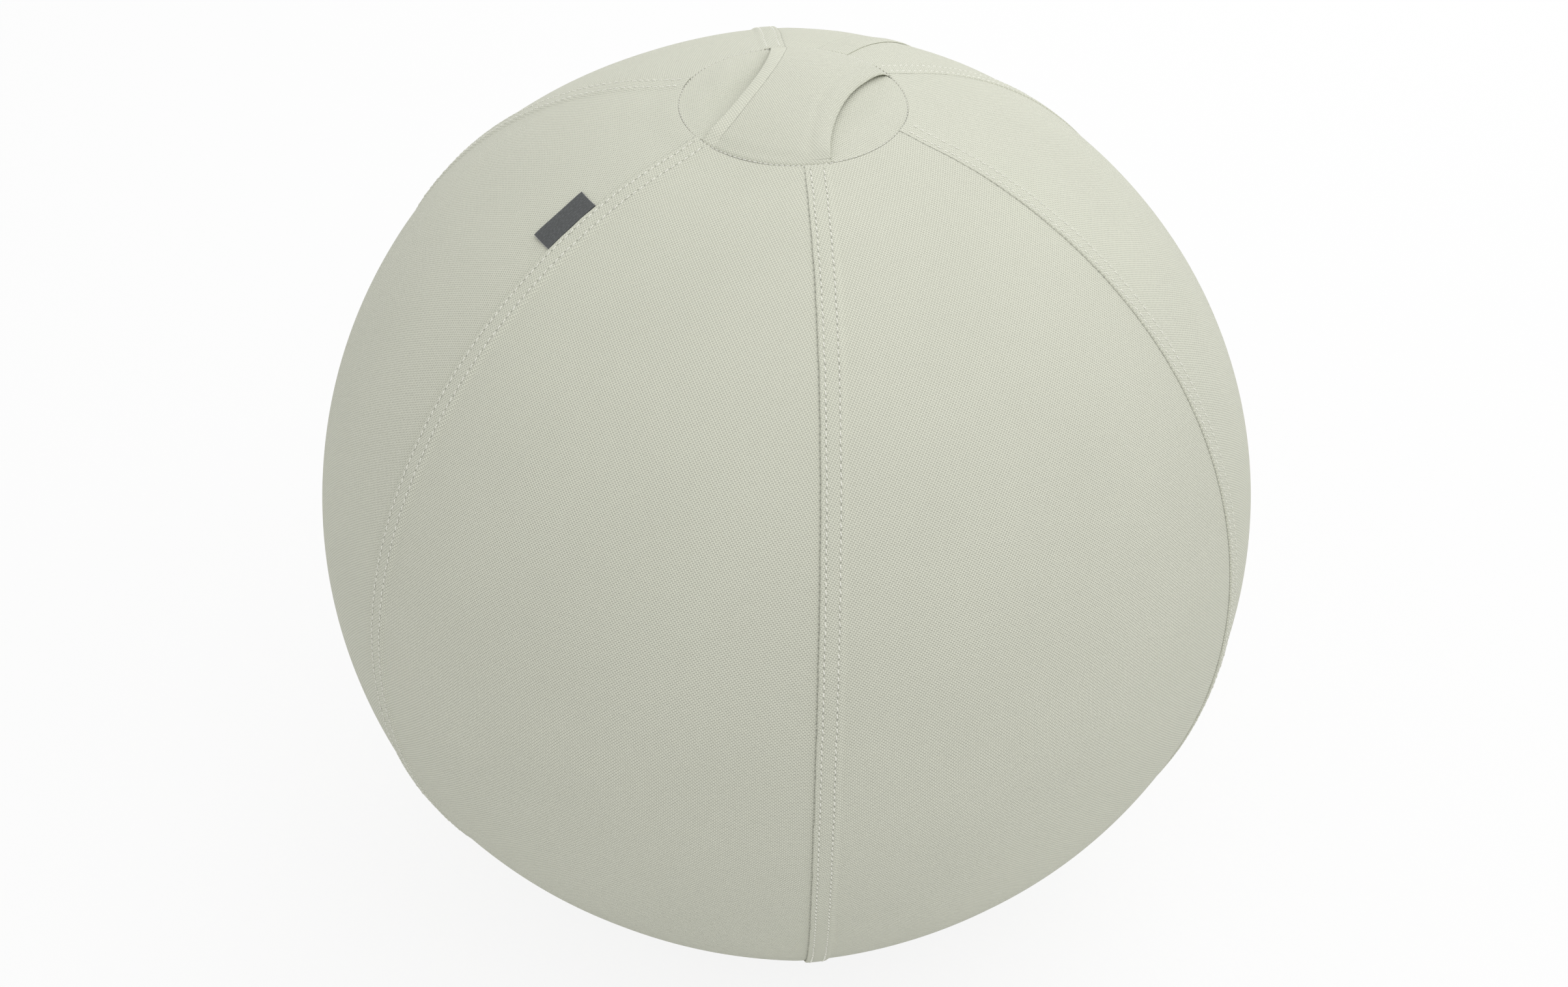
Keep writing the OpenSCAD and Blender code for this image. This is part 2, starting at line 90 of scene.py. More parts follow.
BASE_POLAR = math.pi - math.asin((BASE_RIM_R + 0.4 * MM) / GORE_IN_R)

# Lengths, from the crown seam or the foot's rim, over which the cover takes its shape
SETTLE_CROWN = 26 * MM
SETTLE_FOOT = 12 * MM
RIDGE_RUN_IN = 60 * MM
LIFT_RUN_IN = 25 * MM
LAP_RUN_IN = 140 * MM
CROWN_PUFF = 1 * MM
CROWN_PUFF_RUN_OUT = 20 * MM

# How much of its ridge each seam has, and how far the middle of each panel swells
RIDGE_SHARES = (1.0, 1.0, 0.4, 0.8, 1.0, 1.0)
PANEL_SWELL = (0.3, 0.9, 2.2, 0, 0.8, 0.2)

# The panels whose needle holes stand open, with darker painted shade in them, and those that are drawn in
# beside their right seam
OPEN_HOLED = (0, 1)
DRAWN_IN = (1, 2)

# The crown
CAP_R = 324 * MM
CAP_EDGE_R = 72.2 * MM
STRAP_TURN = math.radians(6)
STRAP_SHIFT = 3.5 * MM
STRAP_END_HALF = CROWN_SEAM_R * math.sin(math.radians(35))
STRAP_BEND = 3 * MM
STRAP_FRONT_AT = math.radians(9.4)
STRAP_BACK_AT = math.radians(182.6)
STRAP_END_ARC = math.radians(35.2)
STRAP_END_BLEND = math.radians(1.6)
SEAM_STITCHES = 134
TUCK = 2.6 * MM
RIM_Z = CENTRE_Z + math.sqrt(CAP_R * CAP_R - CROWN_SEAM_R * CROWN_SEAM_R)

# The label
LABEL_POLAR = math.radians(30.5)
LABEL_HALF_T = 0.40 * MM

# The zip, on circles round the ball's X axis in the plane X = ZIP_X
ZIP_X = -3 * MM
ZIP_RAISE = 1.264 * MM
LIFT_GAIN = 1.3
TAPE_R0 = 321.814 * MM
TAPE_R1 = 322.414 * MM
TEETH_R0 = 322.464 * MM
TEETH_R1 = 324.414 * MM
SLIT_HALF = 0.4 * MM
CHAIN_HALF = 3 * MM
NEAR_FOLD = 5 * MM
FAR_FOLD = 9.5 * MM
FAR_DIP = 0.3 * MM
FLAP_OVER = 6.4 * MM
LOW_UNDER = 6 * MM
TAPE_UNDER = 5 * MM
TAPE_TOP = CROWN_POLAR + math.radians(1.2)
TAPE_LOW = math.radians(119.4)
TEETH_TOP = math.radians(23.7)
TEETH_LOW = math.radians(116.86)
FLAP_TOP = CROWN_POLAR + math.radians(0.02)
FLAP_LOW = math.radians(113.3)
LAP_RISE = math.radians(118.06)
LAP_OVER = math.radians(118.66)
LAP_SHUT = math.radians(119.46)

# The foot and the inner ball
PANEL_T = 1.5 * MM
PAD_Z0 = 1.8 * MM
PAD_H = 11 * MM
PAD_R = 98 * MM
PAD_HOLE_R = 18 * MM
PAD_SEAM_T = 1.2 * MM
POCKET_ROUND = 11 * MM
POCKET_SECTORS = 60
LINING_Z1 = 13.7 * MM
LINING_T = 0.6 * MM
LINING_R = 102 * MM
LINING_REACH = 11 * MM
BLADDER_Z0 = 14 * MM
BLADDER_R = 320.364 * MM
BLADDER_WALL = 1 * MM
VALVE_POLAR = math.radians(80)
VALVE_BORE_R = 4.4 * MM
VALVE_RECESS_R = 8.7 * MM
VALVE_STEP = 1.5 * MM
SEAT_R = 12 * MM
SEAT_DEPTH = 6 * MM

# The photograph's camera, round the ball's middle
VIEW_AZIMUTH = math.radians(25)
VIEW_ELEVATION = math.radians(38.21)
VIEW_ROLL = 0.0212957
VIEW_DISTANCE = 1.995
VIEW_LENS = 64.70
VIEW_SHIFT_X = -0.00067

WHITE = (1, 1, 1, 1)


def length(name, description, default, low, high):
    """A length that can be changed, given in millimetres."""
    return FloatProperty(name=name, description=description, default=default * MM,
                         min=low * MM, max=high * MM, unit="LENGTH", subtype="DISTANCE")


def tint(name, description, *rgb):
    """A colour that can be changed."""
    return FloatVectorProperty(name=name, description=description, default=(*rgb, 1),
                               size=4, min=0, max=1, subtype="COLOR")


def power(name, description, default):
    """A lamp's power, which can be changed."""
    return FloatProperty(name=name, description=description, default=default,
                         min=0, max=500, unit="POWER")


class CoverSettings(PropertyGroup):
    """Sizes and colours of the lapped cover."""

    seam_ridge: length(
        "Seam Ridge", "How far the seams stand out beyond the middles of the panels", 4, 0, 8)
    lap_width: length(
        "Lap Width", "Width of the lap, from the ditch to where the outer layer comes down", 13.4, 10, 16)
    lap_height: length(
        "Lap Height", "Height of the folded edge over the inside face of the panels", 2.5, 2.2, 3.15)
    stitch_length: length("Stitch Length", "Pitch of the topstitching", 4.9, 3, 6)
    thread_width: length("Thread Width", "Width of the sewing thread", 0.92, 0.3, 1.2)
    near_row: length("Near Row", "Distance of the first row of stitches from the ditch", 3.3, 2, 5)
    far_row: length("Far Row", "Distance of the second row of stitches from the ditch", 11.8, 8, 13)
    thread_pitch: length(
        "Yarn Pitch", "Distance between neighbouring yarns of the canvas", 1.13, 0.6, 3)
    canvas_colour: tint("Canvas Colour", "Colour of the cover's yarns", 0.617, 0.625, 0.527)
    thread_colour: tint("Thread Colour", "Colour of the sewing thread", 0.90, 0.90, 0.81)


class CrownSettings(PropertyGroup):
    """Sizes of the cap, the strap and the label."""

    strap_arch: length("Strap Arch", "Height of the finger gap between the cap and the strap", 7, 6, 12)
    strap_waist: length("Strap Waist", "Width of the strap at the top of its arch", 62, 50, 68)
    hem_width: length("Hem Width", "Width of the strap's folded hems", 10, 7, 12)
    label_length: length("Label Length", "Length of the woven label along its seam", 40, 30, 50)
    label_width: length("Label Width", "Width of the woven label", 19, 14, 24)
    label_colour: tint("Label Colour", "Colour of the woven label", 0.066, 0.071, 0.072)


class FittingSettings(PropertyGroup):
    """Colours and counts of the zip, the foot and the inner ball."""

    tape_colour: tint("Tape Colour", "Colour of the zip tape", 0.50, 0.505, 0.43)
    teeth_colour: tint("Teeth Colour", "Colour of the zip's plastic teeth", 0.60, 0.605, 0.52)
    metal_colour: tint("Metal Colour", "Colour of the slider, the pull and the stops", 0.62, 0.61, 0.59)
    foot_colour: tint("Foot Colour", "Colour of the foot's grip canvas", 0.075, 0.08, 0.08)
    ticking_colour: tint("Ticking Colour", "Colour of the weight pad's ticking", 0.55, 0.50, 0.40)
    lining_colour: tint("Lining Colour", "Colour of the lining over the weight pad", 0.62, 0.62, 0.60)
    skin_colour: tint("Inner Ball Colour", "Colour of the inner ball's skin", 0.17, 0.19, 0.21)
    pockets: IntProperty(
        name="Pad Pockets", description="Number of pockets in the weight pad", default=6, min=5, max=8)
    tooth_pitch: length("Tooth Pitch", "Distance between the teeth of one row", 3.6, 2, 5)


class StageSettings(PropertyGroup):
    """The floor and the lights."""

    floor_size: FloatProperty(
        name="Floor Size", description="Half the side of the floor",
        default=6, min=2, max=20, unit="LENGTH", subtype="DISTANCE")
    floor_colour: tint("Floor Colour", "Colour of the floor", 0.88, 0.88, 0.88)
    sky_strength: FloatProperty(
        name="Sky Strength", description="Strength of the even light from all round",
        default=0.78, min=0, max=3)
    key_power: power("Key Power", "Power of the wide lamp overhead, to the right", 11.8)
    rim_power: power("Back Power", "Power of the wide lamp behind the ball", 17)


def settings():
    """The scene's cover, crown, fitting and stage settings."""
    scene = bpy.context.scene
    return scene.ball_cover, scene.ball_crown, scene.ball_fittings, scene.ball_stage


# Shapes of the cover

def smooth(t):
    """An eased step from 0 to 1."""
    t = np.clip(t, 0.0, 1.0)
    return t * t * (3.0 - 2.0 * t)


def bell(t):
    return np.exp(-t * t)


def rounded(distance, radius):
    """A quarter round, from 0 at an edge to 1 where its radius ends."""
    return np.sqrt(np.maximum(0.0, 1 - (1 - np.clip(distance / radius, 0, 1)) ** 2))


def ripple(s, seed, waves=(9.3, 14.1, 23.7, 41.0)):
    """A calm, fixed wave along a seam, between about -1 and 1, from lengths in millimetres."""
    total = 0.0
    for i, wave in enumerate(waves):
        turn = 2 * math.pi * s / (wave * MM) + seed * (1.7 + 2.3 * i) + i
        total = total + np.sin(turn) / (1.3 + 0.2 * i)
    return total / 1.8


def per_metre(polar):
    """Azimuth for a metre along the parallel at a polar angle."""
    return 1 / (GORE_R * np.sin(polar))


def seam_azimuth(k, polar):
    """Azimuth of the seam on the right of panel k."""
    i = k % GORES
    return GORE_ARC * k + HALF_ARC + SWAY_COS[i] * np.cos(2 * polar) + SWAY_SIN[i] * np.sin(2 * polar)


def arc_from_crown(polar):
    return (polar - CROWN_POLAR) * GORE_R


def settle(polar):
    """How far the seam's layers stand up, which are pressed flat at the crown and foot seams."""
    down = smooth(arc_from_crown(polar) / SETTLE_CROWN)
    up = smooth((BASE_POLAR - polar) * GORE_R / SETTLE_FOOT)
    return down * up


def folded_edge(k, polar):
    """Azimuth of the folded edge on the left of panel k, which wanders a little along its seam."""
    wander = 0.22 * MM * ripple(GORE_R * polar, k + 0.5, (17.0, 31.0, 67.0))
    return seam_azimuth(k - 1, polar) + wander * per_metre(polar) * settle(polar)


def off_strap(azimuth):
    """1 where the crown seam is bare, 0 where the strap's ends go into it."""
    turn = np.mod(azimuth + math.pi, 2 * math.pi) - math.pi
    front = np.abs(turn - STRAP_FRONT_AT)
    behind = math.pi - np.abs(np.mod(turn - STRAP_BACK_AT, 2 * math.pi) - math.pi)
    return smooth((np.minimum(front, behind) - STRAP_END_ARC) / STRAP_END_BLEND)


def stacked(x, y, z=0.0):
    """Vectors from three coordinates that fit each other's shape."""
    return np.stack(np.broadcast_arrays(x, y, z), axis=-1)


def round_z(radius, azimuth, z):
    """Points round the Z axis, their azimuth counted from -Y."""
    return stacked(radius * np.sin(azimuth), -radius * np.cos(azimuth), z)


def cover_points(azimuth, polar, height):
    """Points of the cover at a height over the inside face of its panels."""
    arc = arc_from_crown(polar)
    gaps = np.stack([np.abs(azimuth - seam_azimuth(k, polar)) for k in range(-1, GORES + 1)])
    share = np.minimum(1.0, gaps.min(axis=0) / HALF_ARC)
    part = np.array([RIDGE_SHARES[k % GORES] for k in range(-1, GORES + 1)])[gaps.argmin(axis=0)]
    full = settings()[0].seam_ridge * np.sqrt(np.sin(polar))
    ridge = full * (1 - share) ** 1.6 * (0.35 + 0.65 * smooth(arc / RIDGE_RUN_IN)) * part
    swell = np.array(PANEL_SWELL)[np.mod(np.round(azimuth / GORE_ARC).astype(int), GORES)] * MM
    ridge = ridge + swell * np.sin(np.clip(share, 0, 1) * math.pi / 2) ** 2 * np.sin(polar) ** 4
    off_zip = azimuth - math.pi
    lift = ZIP_RAISE * np.minimum(1, LIFT_GAIN * np.cos(3 * off_zip))
    lift = np.where(np.abs(off_zip) < HALF_ARC, lift, 0.0) * smooth(arc / LIFT_RUN_IN)
    puffed = CROWN_PUFF * (1 - smooth(arc / CROWN_PUFF_RUN_OUT))
    r = GORE_IN_R + ridge + lift + puffed + height
    return round_z(r * np.sin(polar), azimuth, CENTRE_Z + r * np.cos(polar))


def lap_outer(x, polar, seed):
    """Height of the outside of a folded edge that laps over its neighbour, x from the ditch."""
    cover = settings()[0]
    s = GORE_R * polar
    flat = settle(polar)
    full = flat * smooth(arc_from_crown(polar) / LAP_RUN_IN)
    top = LAP_PRESSED * (1 - full) + cover.lap_height * full
    down = smooth((x - cover.lap_width + 0.4 * MM) / LAP_FALL)
    puff = 0.16 * MM * ripple(s, seed) * smooth(x / (4 * MM)) * (1 - down) * flat
    rows = bell((x - cover.near_row) / ROW_DENT) + bell((x - cover.far_row) / ROW_DENT)
    height = top + (CLOTH_T - top) * down + puff
    height = height - (0.30 + 0.08 * ripple(s, seed + 5)) * MM * rows * (0.3 + 0.7 * flat)
    return LAP_LOW + (height - LAP_LOW) * rounded(x, LAP_ROUND)


def lap_inner(x):
    """Height of the inside of the same edge."""
    return LAP_LOW * (1 - np.clip((x - TONGUE_W - 0.3 * MM) / (1.4 * MM), 0, 1))


LAP_OFFSETS = np.array([0, 0.1, 0.3, 0.6, 1.0, 1.5, 2.1, 2.7, 3.3, 3.9, 4.6, 5.6, 6.8, 8.2, 9.6, 10.6,
                        11.2, 11.8, 12.4, 13.0, 13.8, 14.6, 15.4, 16.2, 17.4, 19.5]) * MM
TONGUE_OFFSETS = np.array([-8, -5, -3, -1.6, -0.7, 0, 0.8, 2.5, 6, 10, 13.5]) * MM
FOLD_OFFSETS = np.array([0, 0.08, 0.25, 0.5, 0.85, 1.4, 2.2, 3.4, 5, 7, 10, 14]) * MM


def panel_rows(extra=()):
    """Polar angles of a panel's rows, close together at its sewn ends."""
    near = np.array([0, 0.12, 0.35, 0.7, 1.2, 2.0]) * MM / GORE_R
    middle = np.linspace(CROWN_POLAR + 3.6 * MM / GORE_R, BASE_POLAR - 3.6 * MM / GORE_R, 238)
    rows = np.concatenate([CROWN_POLAR + near, middle, BASE_POLAR - near, np.asarray(extra, float)])
    return np.unique(np.round(rows, 7))


def panel_grid(k, left, right, rows, columns):
    """Azimuths, polar angles, heights and seam distances of a panel between its two edges.

    left is "lap" or "zip" and right is "tongue" or "zip".
    """
    polar = rows[:, None]
    per_m = per_metre(polar)
    shut = smooth((polar - LAP_OVER) / (LAP_SHUT - LAP_OVER))
    if left == "lap":
        a = folded_edge(k, polar)
        left_offsets = LAP_OFFSETS
    else:
        a = math.pi - (ZIP_X - FAR_FOLD * (1 - shut) + FLAP_OVER * shut) * per_m
        left_offsets = FOLD_OFFSETS
    if right == "tongue":
        b = seam_azimuth(k, polar)
        right_offsets = TONGUE_OFFSETS
    else:
        b = math.pi - (ZIP_X + NEAR_FOLD * (1 - shut) - LOW_UNDER * shut) * per_m
        right_offsets = -FOLD_OFFSETS[::-1]
    start = a + left_offsets[-1] * per_m
    stop = b + right_offsets[0] * per_m
    middle = start + (stop - start) * np.linspace(0, 1, columns + 2)[None, 1:-1]
    azimuth = np.concatenate([a + left_offsets * per_m, middle, b + right_offsets * per_m], axis=1)
    near_crown = 1 - smooth(arc_from_crown(polar) / (12 * MM))
    close = (0.2 + 0.63 * off_strap(azimuth)) * MM / GORE_R * near_crown
    polar = polar - close
    from_left = (azimuth - a) / per_m
    to_right = (b - azimuth) / per_m

    if left == "lap":
        outer = lap_outer(from_left, polar, k)
        inner = lap_inner(from_left)
        calm = smooth((from_left - 17 * MM) / (9 * MM))
    else:
        aside = (azimuth - math.pi) / per_m + ZIP_X
        risen = smooth((polar - LAP_RISE) / (LAP_OVER - LAP_RISE))
        inner = LAP_LOW * risen * smooth((FAR_FOLD + 5 * MM - aside) / (5 * MM))
        outer = CLOTH_T - FOLD_DEPTH * (1 - rounded(from_left, FOLD_ROUND)) + inner
        calm = smooth(from_left / (12 * MM))
    beside = to_right if right == "tongue" else np.ones(azimuth.shape)
    calm = calm * smooth(to_right / ((2 if right == "tongue" else 12) * MM))
    if k in DRAWN_IN:
        sink = (0.1 - 0.26 * k) * MM * bell(beside / (6 * MM)) * (beside > 0.3 * MM)
    else:
        sink = bell(beside / (4.5 * MM)) * 0.3 * MM * (beside > -0.1 * MM) * settle(polar)
    pulled = np.minimum(np.abs(beside), np.abs(from_left - 19 * MM)) / (26 * MM)
    waves = 0.11 * MM * ripple(GORE_R * polar, k + 3.1, (21.0, 37.0, 58.0, 90.0)) * bell(pulled)
    moved = waves * calm - sink * smooth((from_left - 17 * MM) / (4 * MM))
    outer = outer + moved
    inner = inner + moved
    if right == "zip":
        outer = outer - FOLD_DEPTH * (1 - rounded(to_right, FOLD_ROUND))

    # The sewn ends roll into their seams
    for edge in (arc_from_crown(polar + close), (BASE_POLAR - polar) * GORE_R):
        up = rounded(edge, SEWN_ROUND)
        thick = SEWN_T + (outer - inner - SEWN_T) * up
        inner = inner * (0.6 + 0.4 * up)
        outer = inner + thick
    return azimuth, polar, outer, inner, from_left, to_right


def weave_grid(azimuth, polar, centre):
    """Flat coordinates of a panel's cloth, whose warp runs along the panel's middle."""
    turn = azimuth - centre
    latitude = math.pi / 2 - polar
    across = GORE_R * np.arcsin(np.clip(np.sin(polar) * np.sin(turn), -1, 1))
    bowed = math.pi / 2 - np.arctan2(np.sin(latitude), np.cos(latitude) * np.cos(turn))
    return stacked(across, GORE_R * (0.4 * polar + 0.6 * bowed))


# Meshes

def new_mesh(points, faces):
    mesh = bpy.data.meshes.new("piece")
    mesh.from_pydata(points.reshape(-1, 3).tolist(), [], faces)
    return mesh


def new_object(name, mesh, material, node=None):
    """Links a mesh as a piece on the cover and the CAD node that it stands for."""
    mesh.name = name
    mesh.materials.append(material)
    mesh.polygons.foreach_set("use_smooth", np.ones(len(mesh.polygons), bool))
    obj = bpy.data.objects.new(name, mesh)
    bpy.context.scene.collection.objects.link(obj)
    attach(obj, "cover")
    if node:
        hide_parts(node)
    return obj


def set_vectors(mesh, name, values):
    attribute = mesh.attributes.new(name, "FLOAT_VECTOR", "POINT")
    attribute.data.foreach_set("vector", np.ascontiguousarray(values, np.float32).ravel())


def grid_faces(rows, columns, first, flip=False, around=False):
    """Quads of a grid of points, counted from first."""
    r = np.arange(rows - 1)[:, None]
    c = np.arange(columns if around else columns - 1)[None, :]
    nxt = (c + 1) % columns
    quads = np.stack([r * columns + c, (r + 1) * columns + c, (r + 1) * columns + nxt,
                      r * columns + nxt], axis=-1).reshape(-1, 4) + first
    return quads[:, ::-1] if flip else quads


def edge_loop(rows, columns):
    """Indices round the border of a grid, in order."""
    top = list(range(columns))
    right = [r * columns + columns - 1 for r in range(1, rows)]
    bottom = [(rows - 1) * columns + c for c in range(columns - 2, -1, -1)]
    left = [r * columns for r in range(rows - 2, 0, -1)]
    return np.array(top + right + bottom + left)


def shell_mesh(outer, inner, weave, seam=None):
    """A closed shell between two grids of points, with a layout for its surface colours."""
    rows, columns = outer.shape[:2]
    count = rows * columns
    loop = edge_loop(rows, columns)
    ahead = np.roll(loop, -1)
    rim = np.stack([loop, ahead, ahead + count, loop + count], axis=-1)
    faces = np.concatenate([grid_faces(rows, columns, 0), grid_faces(rows, columns, count, True), rim])
    mesh = new_mesh(np.concatenate([outer.reshape(-1, 3), inner.reshape(-1, 3)]), faces.tolist())
    for name, values in (("weave", weave), ("seam", seam)):
        if values is not None:
            set_vectors(mesh, name, np.concatenate([values.reshape(-1, 3)] * 2))
    lay_out(mesh, outer, len(rim))
    return mesh


def steps(grid, axis):
    """Distances between neighbouring points of a grid along one of its axes."""
    return np.linalg.norm(np.diff(grid, axis=axis), axis=-1)


def running(lengths):
    """Their sums so far, from 0."""
    return np.concatenate([[0], np.cumsum(lengths)])


def lay_out(mesh, outer, rim_faces):
    """Gives a shell the layout that its surface is painted on: outside large, inside in a strip."""
    rows, columns = outer.shape[:2]
    down = steps(outer, 0).mean(axis=1)
    over = steps(outer, 1).mean(axis=0)
    u, v = np.meshgrid(running(over) / over.sum(), running(down) / down.sum())
    outside = np.stack([0.005 + 0.885 * u, 0.995 - 0.99 * v], axis=-1).reshape(-1, 2)
    inside = np.stack([0.90 + 0.095 * u, 0.995 - 0.99 * v], axis=-1).reshape(-1, 2)
    table = np.concatenate([outside, inside])
    vertex = np.zeros(len(mesh.loops), np.int32)
    mesh.loops.foreach_get("vertex_index", vertex)
    rim = vertex[-4 * rim_faces:]
    vertex[-4 * rim_faces:] = np.where(rim >= rows * columns, rim - rows * columns, rim)
    layer = mesh.uv_layers.new(name="OFBake")
    layer.data.foreach_set("uv", table[vertex].astype(np.float32).ravel())


def lathe(profile, sectors):
    """Rings of points from a profile, as (radius, height) points, turned round Z."""
    radius, height = np.array(profile, float).T[..., None]
    return round_z(radius, np.linspace(0, 2 * math.pi, sectors, endpoint=False), height)


def ring_mesh(grid):
    """A closed mesh from rings of points, the last joined to the first."""
    rings, sectors = grid.shape[:2]
    c = np.arange(sectors)
    nxt = (c + 1) % sectors
    last = (rings - 1) * sectors
    faces = grid_faces(rings, sectors, 0, around=True).tolist()
    return new_mesh(grid, faces + np.stack([last + c, c, nxt, last + nxt], axis=-1).tolist())


def flat_ring_mesh(grid):
    """The same, with a weave that lies flat in X and Y."""
    mesh = ring_mesh(grid)
    set_vectors(mesh, "weave", grid * np.array([1, 1, 0]))
    return mesh


def tubes_mesh(grid, flip=False):
    """Short closed tubes, from points counted by tube, ring and side."""
    count, rings, sides = grid.shape[:3]
    first = (np.arange(count) * rings * sides)[:, None, None]
    faces = (grid_faces(rings, sides, 0, flip, around=True)[None] + first).reshape(-1, 4).tolist()
    ring = np.arange(sides)[::-1] if flip else np.arange(sides)
    for i in range(count):
        faces.append((ring + i * rings * sides).tolist())
        faces.append((ring[::-1] + (i * rings + rings - 1) * sides).tolist())
    return new_mesh(grid, faces)


# Finishes

class Nodes:
    """A node tree being made, with short calls for the nodes that it uses."""

    def __init__(self, tree):
        self.tree = tree

    def node(self, kind, inputs=(), **values):
        made = self.tree.nodes.new(kind)
        for key, value in values.items():
            setattr(made, key, value)
        for key, value in dict(inputs).items():
            self.put(value, made.inputs[key])
        return made

    def put(self, value, socket):
        if isinstance(value, bpy.types.NodeSocket):
            self.tree.links.new(value, socket)
        else:
            socket.default_value = value

    def math(self, operation, a, b=0.0, c=0.0):
        return self.node("ShaderNodeMath", {0: a, 1: b, 2: c}, operation=operation).outputs[0]

    def seen(self):
        """1 for what the camera sees, also through glass and in metal."""
        path = self.node("ShaderNodeLightPath").outputs
        other = self.math("MAXIMUM", path["Is Glossy Ray"], path["Is Transmission Ray"])
        return self.math("MAXIMUM", path["Is Camera Ray"], other)


class Finish(Nodes):
    """A node material being made, in shades of one colour."""

    def __init__(self, name, colour=WHITE):
        self.colour = tuple(colour)
        self.material = bpy.data.materials.new(name)
        self.material.use_nodes = True
        super().__init__(self.material.node_tree)
        self.shader = self.tree.nodes["Principled BSDF"]

    def vector(self, name):
        return self.node("ShaderNodeAttribute", attribute_name=name).outputs["Vector"]

    def place(self):
        return self.node("ShaderNodeTexCoord").outputs["Object"]

    def split(self, vector):
        return self.node("ShaderNodeSeparateXYZ", {0: vector}).outputs

    def noise(self, vector, scale, detail=2.0, rough=0.5):
        return self.node("ShaderNodeTexNoise", {"Vector": vector, "Scale": scale, "Detail": detail,
                                                "Roughness": rough}).outputs["Fac"]

    def stretch(self, vector, scale):
        return self.node("ShaderNodeVectorMath", {0: vector, 1: scale}, operation="MULTIPLY").outputs[0]

    def ramp(self, value, low, high, start=0.0, end=1.0, eased=True):
        return self.node("ShaderNodeMapRange", {"Value": value, "From Min": low, "From Max": high,
                                                "To Min": start, "To Max": end},
                         interpolation_type="SMOOTHSTEP" if eased else "LINEAR").outputs["Result"]

    def mix(self, share, a, b):
        return self.node("ShaderNodeMix", {0: share, 6: a, 7: b}, data_type="RGBA").outputs[2]

    def tones(self, share, low, high):
        """From one shade of the colour to another."""
        return self.mix(share, shade_of(self.colour, low), shade_of(self.colour, high))

    def toned(self, tone, share, factor):
        """A tone with a share of a shade of the colour."""
        return self.mix(share, tone, shade_of(self.colour, factor))

    def blotch(self, tone, noise, low, high, share, factor):
        """A tone with up to a share of a shade of the colour, where a noise is high."""
        return self.toned(tone, self.ramp(noise, low, high, 0.0, share), factor)

    def bump(self, height, distance, strength=1.0):
        return self.node("ShaderNodeBump", {"Height": height, "Distance": distance,
                                            "Strength": strength}).outputs["Normal"]

    def surface(self, tone, rough, normal, **sockets):
        """The finished material; sockets are other values of the shader, by its sockets' names."""
        self.put(tone, self.shader.inputs["Base Color"])
        self.put(rough, self.shader.inputs["Roughness"])
        self.put(normal, self.shader.inputs["Normal"])
        for key, value in sockets.items():
            self.put(value, self.shader.inputs[key.replace("_", " ").title().replace("Ior", "IOR")])
        return self.material


def shade_of(colour, factor):
    return (colour[0] * factor, colour[1] * factor, colour[2] * factor, 1)


def plain_weave(f, vector, pitch):
    """Height of a plain weave, from 0 to 1: staggered pits along its rows, with beads between them.

    Its rows grow deeper away from the crown: deeper relief in the bump and, where a finish takes its
    colour from this height, painted shade under each row.
    """
    shift = f.math("MULTIPLY", f.math("SUBTRACT", f.noise(vector, 60.0, 1.0), 0.5), 0.25 * pitch)
    moved = f.node("ShaderNodeVectorMath", {0: vector, 1: shift}, operation="ADD").outputs[0]
    x, y, _ = f.split(f.stretch(moved, (math.pi / pitch, math.pi / pitch / 1.08, 1)))
    warp = f.math("COSINE", x)
    weft = f.math("COSINE", y)
    total = f.math("MULTIPLY_ADD", f.math("MULTIPLY", warp, weft), 0.375, 0.36)
    # Rows deepen away from the crown: real relief for the bump, and painted shade under the rows in
    # colours taken from the height.
    row_depth_and_shade = f.ramp(f.math("ABSOLUTE", f.split(vector)[1]), 0.15, 0.42, 0.22, 0.58)
    gap = f.math("SUBTRACT", 0.5, f.math("MULTIPLY", weft, weft))
    total = f.math("MULTIPLY_ADD", gap, row_depth_and_shade, total)
    return f.math("MULTIPLY_ADD", f.math("MULTIPLY", warp, warp), 0.333, total)


